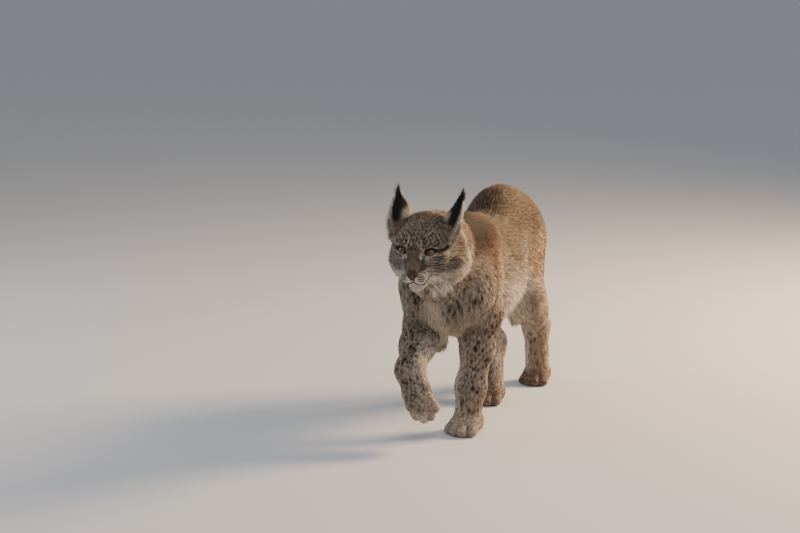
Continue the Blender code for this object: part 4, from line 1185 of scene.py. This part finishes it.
def region_of(points, weights, on_head):
    """The piece of the coat that each root belongs to."""
    x, y, z = points.T
    part = kinds_of(weights)
    head = to_head(points)
    right, right_leg = x < TRUNK_X, x <= 0.016
    fore = (on_head > 0.5) | ((y < -0.40) & (z > 0.42))
    region = np.full(len(points), "flank_left", dtype=object)
    for name, here, to_right in (
        ("flank", z > -1, right),
        ("rump", y > 0.075, right),
        ("belly", (part.belly + part.sternum * 0.8 > 0.42) & (z < 0.40), None),
        ("chest", (y < -0.235) & (z > 0.27), right),
        ("foreleg", (part.forearm + part.paw + part.toe > 0.5) & (y < -0.1), right_leg),
        ("hindleg", (part.shin + part.paw + part.toe > 0.5) & (y > -0.1), right_leg),
        ("tail", part.tail > 0.5, None),
        ("head", fore, None),
        ("face", fore & (head[:, 1] < -0.018) & (head[:, 2] > -0.095) & (on_head > 0.5), None),
    ):
        if to_right is None:
            region[here] = name
        else:
            region[here & ~to_right] = name + "_left"
            region[here & to_right] = name + "_right"
    return region


# The line that each piece of the coat is wrapped round for its bake
ALONG_TRUNK = ((0.012, -0.4, 0.45), (0.012, 0.4, 0.45))
UP_CHEST = ((0.012, -0.30, 0.25), (0.012, -0.30, 0.65))
AXES = {
    "flank_left": ALONG_TRUNK, "flank_right": ALONG_TRUNK, "rump_left": ALONG_TRUNK, "rump_right": ALONG_TRUNK,
    "belly": ALONG_TRUNK, "chest_left": UP_CHEST, "chest_right": UP_CHEST,
    "foreleg_left": (PAW_LEFT, ELBOW_LEFT), "foreleg_right": (PAW_RIGHT, ELBOW_RIGHT),
    "hindleg_left": (TOE_LEFT, KNEE_LEFT), "hindleg_right": (TOE_RIGHT, KNEE_RIGHT),
    "tail": ((0.016, 0.337, 0.36), (0.012, 0.28, 0.50)),
    "head": ((0.008, -0.45, 0.40), (0.008, -0.45, 0.68)), "face": ((0.008, -0.47, 0.46), (0.008, -0.47, 0.66)),
}
# Pieces whose long hairs are locks, in a piece of their own, and the length from which a hair is long
LONG, LONG_FROM = ("belly", "tail", "head"), 0.036
# Each tuft's patch on the unwrap is this wide
PATCH = 0.003
# Corners of a tuft's faces: a blade stands on two, a lock on three
BLADE_FACES = ((0, 3, 1), (0, 2, 3), (1, 3, 2), (0, 1, 2))
LOCK_FACES = (
    (0, 1, 2), (0, 3, 4), (0, 4, 1), (1, 4, 5), (1, 5, 2), (2, 5, 3), (2, 3, 0), (3, 6, 4), (4, 6, 5), (5, 6, 3),
)


def make_coat(points, normals, tris, grown, mark, coat, face_coat):
    """Scatters tufts over the skin, marks them, and makes a piece of each region's."""
    which, shares = scatter(points, tris, grown["gap"], 11)
    roots = blend_at(points, tris, which, shares)
    keep = clear_of_features(roots)
    roots, which, shares = roots[keep], which[keep], shares[keep]
    normals = unit(blend_at(normals, tris, which, shares))
    fur = {key: blend_at(values, tris, which, shares) for key, values in grown.items()}
    lie = unit(fur["lie"])
    low = roots + lie * (0.45 * np.minimum(fur["length"], 0.030))[:, None]
    high = roots + lie * (0.88 * np.minimum(fur["length"], 0.032))[:, None]
    low, high = (mark(seen, normals, fur) for seen in (low, high))
    marks = {key: np.stack((low[key], high[key]), 1) for key in low}
    draw = np.random.default_rng(23)
    count = len(roots)
    vary = np.clip(0.62 * draw.random(count) + 0.19 + 0.34 * noise(roots, 0.0085, 77), 0, 1)
    swirl = np.stack([noise(roots, 0.05, 31 + i) for i in range(3)], 1)
    lie = unit(lie + 0.16 * swirl + 0.16 * draw.normal(size=(count, 3)))
    length = fur["length"] * (0.72 + 0.56 * draw.random(count))
    width = fur["width"] * (0.70 + 0.60 * draw.random(count))
    lift = fur["lift"] * (0.70 + 0.60 * draw.random(count))
    lift = np.maximum(lift, 0) * np.clip(np.maximum(roots[:, 2] - 0.0015, 0.0) / 0.012, 0.1, 1)
    tufts = {
        "roots": roots, "normals": normals, "lie": lie, "length": length, "width": width, "lift": lift, "vary": vary,
    }
    region = region_of(roots, fur["weights"], fur["on_head"])
    long = fur["length"] > LONG_FROM
    for name, axis in AXES.items():
        here = region == name
        for suffix, part in (("", here & ~long), ("_long", here & long)) if name in LONG else (("", here),):
            if part.any():
                coat_piece(
                    "coat_" + name + suffix, {key: values[part] for key, values in tufts.items()},
                    {key: values[part] for key, values in marks.items()}, face_coat if name == "face" else coat,
                    axis, suffix == "_long",
                )


def clear_of_features(roots):
    """Leaves bare the eyes' openings, the nose leather, the mouth line and the soles."""
    head = to_head(roots)
    ratio, mouth = eye_ratio(head)[2], from_mouth(head)
    return (ratio > 1.30) & (leather_part(roots) < 0.3) & (mouth > 0.0020) & (roots[:, 2] > 0.0035)


# ---------------------------------------------------------------- eyes, lips, whiskers


def eye_material():
    """A wet amber eye: black pupil, streaked iris, dark ring where it meets the white, under a clear cornea."""
    material, shader = new_material("wet_eye", Roughness=0.25)
    shader.inputs["Coat Weight"].default_value = 0.12
    shader.inputs["Coat Roughness"].default_value = 0.02
    reach = (add(material, "ShaderNodeAttribute", attribute_name="reach"), "Fac")
    ray = add(material, "ShaderNodeAttribute", attribute_name="ray")
    streaks = add(material, "ShaderNodeTexNoise", {"Vector": (ray, "Vector"), "Scale": 9.0, "Detail": 4.0})
    iris = layered(material, "#33281d", (((streaks, 0), "#7a674e"),))
    steps = []
    for low, high in ((0.0100, 0.0116), (0.0118, 0.0126)):
        steps.append((add(material, "ShaderNodeMapRange", {0: reach, 1: low, 2: high}), 0))
    pupil = (add(material, "ShaderNodeMapRange", {0: reach, 1: 0.0029, 2: 0.0025}), 0)
    colour = layered(material, iris, ((steps[0], "#2c1a0f"), (steps[1], "#0e0a09"), (pupil, "#030303")))
    material.node_tree.links.new(colour[0].outputs[colour[1]], shader.inputs["Base Color"])
    return material


def gaze_of(side):
    return (HEAD_TURN @ Vector((side * 0.09 + 0.06, -1, 0.42))).normalized()


def corner_order(face):
    """A number that follows from the face's corners alone."""
    first, second, third = sorted(vert.index for vert in face.verts)[:3]
    return (first * 1e5 + second) * 1e5 + third


def make_eyes():
    """Two balls with a low cornea; each vertex knows its distance from the eye's own axis."""
    radius = (Vector(eye_high) - Vector(eye_low)).z / 2
    bm = bmesh.new()
    for side in (-1, 1):
        part = bmesh.new()
        turn = gaze_of(side).to_track_quat("Z", "Y").to_matrix().to_4x4()
        bmesh.ops.create_uvsphere(
            part, u_segments=48, v_segments=44, radius=radius, matrix=Matrix.Translation(eye_centre(side)) @ turn
        )
        join(bm, part)
    # Blender makes a ball's faces in an order that changes from run to run
    bm.verts.index_update()
    bm.faces.sort(key=corner_order)
    mesh = finished(bm, "eyes")
    points = triples(mesh.vertices, "co")
    reach, ray = np.full(len(points), 0.02), np.zeros((len(points), 3))
    for side in (-1, 1):
        centre, gaze = np.array(eye_centre(side)), np.array(gaze_of(side))
        right = unit(np.cross(gaze, (0, 0, 1.0)))
        above = np.cross(right, gaze)
        away = points - centre
        ahead = away @ gaze
        here = np.linalg.norm(away, axis=1) < radius * 1.2
        far = np.linalg.norm(away - ahead[:, None] * gaze, axis=1)
        front = here & (ahead > 0)
        reach[front] = far[front]
        turn = np.arctan2(away @ above, away @ right)
        ray[here] = np.stack((np.cos(turn), np.sin(turn), far * 40), 1)[here]
        bulge = 0.0011 * ramp(far, 0.0118, 0.0040) * front
        points = points + bulge[:, None] * gaze
    set_vertices(mesh, points)
    set_values(mesh, "reach", reach)
    mesh.attributes.new("ray", "FLOAT_VECTOR", "POINT").data.foreach_set("vector", ray.astype(np.float32).ravel())
    piece("eyes", mesh, eye_material(), ("eye_left", "eye_right"))
    return radius / HEAD_SCALE


LID_SIDES = 44
# Rings from the rim outward: openings out, height over the ball, and whether the ring lies on the skin
LID_RINGS = (
    (0.97, -0.0012, False), (1.00, 0.0004, False), (1.08, 0.0012, False), (1.28, 0.0010, True), (1.52, 0.0004, True),
    (1.70, -0.0022, True),
)


def make_lids(ball, mark_surface, material):
    """Lids that hug the balls and run out into the face, with dark rims."""
    bm = bmesh.new()
    for side in (-1, 1):
        rings = []
        for ratio, lift, settled in LID_RINGS:
            ring = []
            for k in range(LID_SIDES):
                turn = math.tau * k / LID_SIDES
                dx = EYE_WIDE * ratio * math.cos(turn) * (1 + 0.10 * math.cos(turn) ** 8)
                dz = EYE_TALL * ratio * math.sin(turn) * (1.0 - 0.22 * (math.sin(turn) > 0)) + 0.14 * dx
                x, z = EYE_OPEN[0] + dx, EYE_OPEN[1] + dz
                off = (x - EYE_PLACE.x) ** 2 + (z - EYE_PLACE.z) ** 2
                ring.append(sided(side, (x, EYE_PLACE.y - math.sqrt(max((ball + lift) ** 2 - off, 4e-6)), z)))
            rings.append(on_skin(ring, 0.0012 - lift) if settled else [HEAD @ place for place in ring])
        lofted(bm, rings, around=True)
    mesh = finished(bm, "eyelids")
    mark_surface(mesh)
    piece("eyelids", mesh, material)


def make_lips(material):
    """Thin dark lips along the mouth and the line that joins them to the nose."""
    bm = bmesh.new()
    ends = [math.sin(math.pi * min(max(k / 40, 0.02), 0.98)) ** 0.5 for k in range(41)]
    tube(bm, on_skin(smooth_path(LIPS, 41), 0.0008), [0.0014 * e + 0.0004 for e in ends])
    tube(bm, on_skin(smooth_path(CLEFT, 9), 0.0009), [0.0008] * 9)
    piece("lips", finished(bm, "lips"), material)


def make_whiskers(material):
    """Stiff white hairs from the muzzle's rows, and a few above the eyes."""
    draw = np.random.default_rng(41)
    bm = bmesh.new()
    for side in (-1, 1):
        for index in range(12):
            row, column = divmod(index, 3)
            if row < 3:
                root = (0.019 + 0.0065 * column, -0.098 + 0.009 * column, -0.041 - 0.006 * row - 0.001 * column)
                way = sided(side, (0.95, -0.36 + 0.34 * column, -0.12 - 0.16 * row))
                way += Vector(draw.normal(size=3)) * 0.07
                reach, sink, thick = 0.062 + 0.016 * draw.random() + 0.006 * column, 0.42, 0.00030
            else:
                root = (0.030 + 0.004 * column, -0.070, 0.0215)
                way = sided(side, (0.45, -0.55, 0.75)) + Vector(draw.normal(size=3)) * 0.10
                reach, sink, thick = 0.030 + 0.008 * draw.random(), 0.10, 0.00022
            start = on_skin([sided(side, root)], 0.0012)[0]
            way = HEAD_TURN @ way.normalized()
            down = Vector((0, 0.25, -1.0)) * sink
            path = [start + way * reach * t + down * reach * t * t for t in (0, 0.15, 0.35, 0.55, 0.75, 0.9, 1.0)]
            tube(bm, path, [thick * (1 - 0.82 * k / 6) for k in range(7)], 4)
    piece("whiskers", finished(bm, "whiskers"), material)


# ---------------------------------------------------------------- ears


def ear_axes(side):
    """Base, tip, axis, the way the cup opens and the way to the crown, in the head's frame."""
    base, tip = sided(side, EAR_BASE), sided(side, EAR_TIP)
    axis = (tip - base).normalized()
    opening = sided(side, (0.60, 0.80, 0.0))
    opening = (opening - axis * opening.dot(axis)).normalized()
    return base, tip, axis, opening, axis.cross(opening).normalized() * side


# Share of the way from base to tip, and the cup's width and depth there as shares of EAR_WIDE
EAR_PROFILE = (
    (-0.42, 0.80, 0.74), (-0.15, 0.90, 0.74), (0.05, 0.95, 0.70), (0.30, 0.92, 0.57), (0.50, 0.80, 0.44),
    (0.70, 0.57, 0.31), (0.87, 0.31, 0.19), (0.97, 0.13, 0.10),
)
EAR_GAP, PENCIL_HAIRS = 0.00118, 70


def ear_mesh(side):
    """A crescent cup: round the back from rim to rim, then back along the inside."""
    base, tip, _axis, opening, medial = ear_axes(side)
    bm = bmesh.new()
    rings = []
    for t, wide, deep in EAR_PROFILE:
        middle = base + (tip - base) * t + opening * 0.004 * (1 - t)
        ring = []
        wall = min(0.0030 + 0.0006 * max(0, 0.5 - t), EAR_WIDE * deep * 0.45)
        for k in range(13):
            turn = math.pi * k / 12
            ring.append(middle + medial * math.cos(turn) * EAR_WIDE * wide - opening * math.sin(turn) * EAR_WIDE * deep)
        for k in range(11, 0, -1):
            turn = math.pi * k / 12
            ring.append(
                middle + medial * math.cos(turn) * (EAR_WIDE * wide - wall * 0.8)
                - opening * (math.sin(turn) * (EAR_WIDE * deep - wall))
            )
        rings.append([HEAD @ p for p in ring])
    lofted(bm, rings)
    bmesh.ops.subdivide_edges(bm, edges=bm.edges[:], cuts=1, use_grid_fill=True, smooth=0.6)
    bmesh.ops.triangulate(bm, faces=bm.faces[:])
    return finished(bm, "ear_" + ("left" if side > 0 else "right"))


def ear_growth(points, normals, side):
    """Fur of the ear: short and black behind with a grey patch towards the crown, long and pale at the rims."""
    base, tip, axis, opening, medial = (np.array(v) for v in ear_axes(side))
    head = to_head(points)
    out = unit(normals @ np.array(HEAD_TURN))
    t = (head - base) @ axis / np.linalg.norm(tip - base)
    places = [p[0] for p in EAR_PROFILE]
    wide, deep = (np.interp(t, places, [p[k] for p in EAR_PROFILE]) * EAR_WIDE for k in (1, 2))
    away = head - base - (tip - base) * t[:, None] - opening * (0.004 * (1 - t))[:, None]
    u, back = (away @ medial) / wide, -(away @ opening) / deep
    turn = np.arctan2(np.maximum(back, 0), u) / math.pi
    radial = unit(away - (away @ axis)[:, None] * axis)
    lateral, inner_rim = ramp(turn, 0.84, 0.93), ramp(turn, 0.10, 0.05)
    behind = ramp((out * radial).sum(1), -0.15, 0.25) * (1 - np.maximum(lateral, inner_rim))
    rim = np.maximum(lateral, inner_rim)
    inside = (1 - behind) * (1 - rim)
    patch = ramp(turn + 0.25 * t, 0.72, 0.54) * ramp(t + 0.25 * turn, 0.14, 0.24)
    patch = patch * ramp(t + 0.35 * turn, 0.70, 0.46) * behind
    pale = np.maximum(0.44 * patch, np.maximum(0.95 * lateral * ramp(t, 0.98, 0.86), 0.80 * inside))
    pale = np.maximum(pale, 0.55 * inner_rim * ramp(t, 0.75, 0.55))
    black = behind * (1 - 0.70 * patch) * (1 - lateral * ramp(t, 0.98, 0.80)) * ramp(t, -0.06, 0.08)
    black = np.maximum(black, ramp(t, 0.78, 0.92) * 0.97)
    black = np.maximum(black, inner_rim * ramp(t, 0.55, 0.72))
    down = ramp(t, 0.42, 0.05)
    lie = (
        axis * (1.0 - 1.15 * (down * lateral)[:, None]) - medial * (0.75 * lateral)[:, None]
        + medial * (0.30 * inner_rim * (1 - black))[:, None] + opening * (0.45 * inside + 0.25 * lateral)[:, None]
    )
    length = 7.0 + 2.0 * patch + 3.5 * lateral + 9.0 * lateral * down + 2.5 * inner_rim + 8.0 * inside
    length = np.where(t > 0.85, 8.0, length)
    lift = 17 + 12 * rim + 12 * inside
    foot = ramp(t, 0.10, -0.02) * behind
    marks = {"pale": pale, "warm": 0.10 + 0.2 * lateral + 0.10 * foot, "spot": 0.30 * foot, "black": black}
    return turn_head(unit(lie)), length / 1000, np.radians(lift), marks


def make_ears(skin, coat):
    """The ears' skins, their fur, and the long black tuft at each point, which curves in towards the crown."""
    meshes = {}
    for side, name in ((-1, "ear_right"), (1, "ear_left")):
        mesh = ear_mesh(side)
        points, normals = surface_of(mesh)
        tris = triangles_of(mesh)
        which, shares = scatter(points, tris, np.full(len(points), EAR_GAP), 51 + side)
        roots = blend_at(points, tris, which, shares)
        keep = blended_distance(roots, MASSES) > -0.004
        roots, normal = roots[keep], unit(blend_at(normals, tris, which, shares))[keep]
        lie, length, lift, marks = ear_growth(roots, normal, side)
        draw = np.random.default_rng(61 + side)
        count = len(roots)
        tufts = {
            "roots": roots, "normals": normal, "lie": unit(lie + 0.14 * draw.normal(size=(count, 3))),
            "length": length * (0.75 + 0.5 * draw.random(count)), "width": 0.0014 * (0.7 + 0.6 * draw.random(count)),
            "lift": lift, "vary": draw.random(count),
        }
        base, tip, axis, opening, medial = ear_axes(side)
        ends = (HEAD @ (base - axis * 0.03), HEAD @ tip)
        coat_piece("coat_" + name, tufts, marks, coat, ends)
        tip, axis, opening, medial = (np.array(v) for v in (tip, axis, opening, medial))
        count = PENCIL_HAIRS
        spread = draw.normal(size=(count, 3)) * 0.0028
        start = tip - axis * (0.004 + 0.022 * draw.random(count))[:, None] + spread - opening * 0.0012
        way = np.array(sided(side, EAR_TUFT_TIP)) + spread * 0.5 - start
        reach = np.linalg.norm(way, axis=1) * HEAD_SCALE * (0.74 + 0.30 * draw.random(count))
        tufts = {
            "roots": np.array([HEAD @ Vector(p) for p in start]), "lie": turn_head(unit(way)), "length": reach,
            "normals": np.tile(turn_head(unit(0.3 * opening - medial)[None]), (count, 1)),
            "width": 0.0026 * (0.7 + 0.6 * draw.random(count)), "lift": np.zeros(count), "vary": draw.random(count),
        }
        marks = {"pale": np.zeros(count), "warm": np.zeros(count), "spot": np.zeros(count)}
        marks["black"] = np.full(count, 0.97)
        coat_piece("coat_tuft" + name[3:], tufts, marks, coat, ends, True, 0.13)
        set_marks(mesh, ear_growth(points, normals, side)[3])
        meshes[name] = mesh
    for name, mesh in meshes.items():
        piece(name + "_skin", mesh, skin, (name,))


# ---------------------------------------------------------------- camera, lights, floor


# The photo's view: its direction and distance from the planted forepaw, and where in the frame that paw is
VIEW_AZIMUTH_DEG, VIEW_HEIGHT_DEG, VIEW_DISTANCE = 20.5, 15.5, 5.0
VIEW_FOOT = Vector((0.045, -0.285, 0.0))
FOCAL_PX, FOOT_BELOW_PX, FOOT_RIGHT_PX, PHOTO_WIDE_PX = 1750.0, 165.5, 65, 800
SENSOR_MM = 36


def make_camera():
    """The photo's view: 20.5 degrees to the animal's left, from a little above, 5 m away."""
    azimuth, height = math.radians(VIEW_AZIMUTH_DEG), math.radians(VIEW_HEIGHT_DEG)
    right = Vector((math.cos(azimuth), math.sin(azimuth), 0))

    def slanted(angle):
        return Vector((math.sin(azimuth) * math.cos(angle), -math.cos(azimuth) * math.cos(angle), math.sin(angle)))

    ahead = -slanted(height - math.atan(FOOT_BELOW_PX / FOCAL_PX))
    yaw = math.atan(FOOT_RIGHT_PX / FOCAL_PX)
    look = ahead * math.cos(yaw) - right * math.sin(yaw)
    right = right * math.cos(yaw) + ahead * math.sin(yaw)
    data = bpy.data.cameras.new("photo_view")
    data.sensor_width = SENSOR_MM
    data.lens = FOCAL_PX * SENSOR_MM / PHOTO_WIDE_PX
    camera = placed("photo_view", data)
    camera.matrix_world = Matrix((right, right.cross(look), -look)).transposed().to_4x4()
    camera.location = VIEW_FOOT + VIEW_DISTANCE * slanted(height) + SHIFT
    bpy.context.scene.camera = camera


MIDDLE = (0, 0, 0.38)


def soft_light(name, place, size, watts, colour):
    data = bpy.data.lights.new(name, "AREA")
    data.shape = "SQUARE"
    data.size = size
    data.energy = watts
    data.color = linear(colour)[:3]
    lamp = placed(name, data)
    lamp.location = place
    lamp.rotation_mode = "QUATERNION"
    lamp.rotation_quaternion = (Vector(MIDDLE) - Vector(place)).to_track_quat("-Z", "Y")


def make_studio():
    soft_light("warm_key", (2.5, 2.3, 2.1), 1.2, 320, "#ffdcae")
    soft_light("front_fill", (1.5, -3.0, 3.2), 2.6, 66, "#f3f1f0")
    soft_light("side_fill", (-3.2, -0.6, 1.8), 2.4, 36, "#e6ecf6")
    world = bpy.data.worlds.new("studio")
    world.use_nodes = True
    background = world.node_tree.nodes["Background"]
    background.inputs["Color"].default_value = linear("#e9edf2")
    background.inputs["Strength"].default_value = 0.38
    bpy.context.scene.world = world
    bm = bmesh.new()
    bmesh.ops.create_grid(bm, x_segments=1, y_segments=1, size=90.0)
    mesh = finished(bm, "studio_floor", False)
    mesh.materials.append(new_material("pale_matt_floor", Roughness=0.9, Base_Color=linear("#d9dade"))[0])
    placed("studio_floor", mesh)


# ---------------------------------------------------------------- putting it together


def main():
    make_camera()
    make_studio()
    skin = make_skin_mesh()
    points, normals = surface_of(skin)
    tris = triangles_of(skin)
    grown = growth(points, normals)
    seeds = spot_seeds(points, tris, grown)
    tree = KDTree(len(seeds[0]))
    for index, place in enumerate(seeds[0]):
        tree.insert(place, index)
    tree.balance()

    def mark(places, ways, fur):
        return markings(places, ways, fur, seeds, tree)

    def mark_surface(mesh):
        places, ways = surface_of(mesh)
        set_marks(mesh, mark(places, ways, growth(places, ways)))

    marks = mark(points, normals, grown)
    hole, leather = nostril_part(points), leather_part(points)
    marks["black"] = np.maximum(marks["black"] * (1 - leather), hole)
    set_marks(skin, marks, leather=leather * (1 - 0.93 * hole))
    coat = coat_material("winter_fur", 0.74, 0.60)
    face_coat = coat_material("short_face_fur", 0.30, 0.28)
    bare = coat_material("bare_skin", 0.30, 0.40, True)
    make_coat(points, normals, tris, grown, mark, coat, face_coat)
    make_lids(make_eyes(), mark_surface, bare)
    make_lips(new_material("dark_lips", Roughness=0.35, Base_Color=linear("#1c1210"))[0])
    make_whiskers(new_material("white_whisker", Roughness=0.4, Base_Color=linear("#ece6dc"))[0])
    make_ears(bare, coat)
    flesh = [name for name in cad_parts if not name.startswith(("eye", "ear"))]
    piece("skin", skin, bare, flesh)


main()
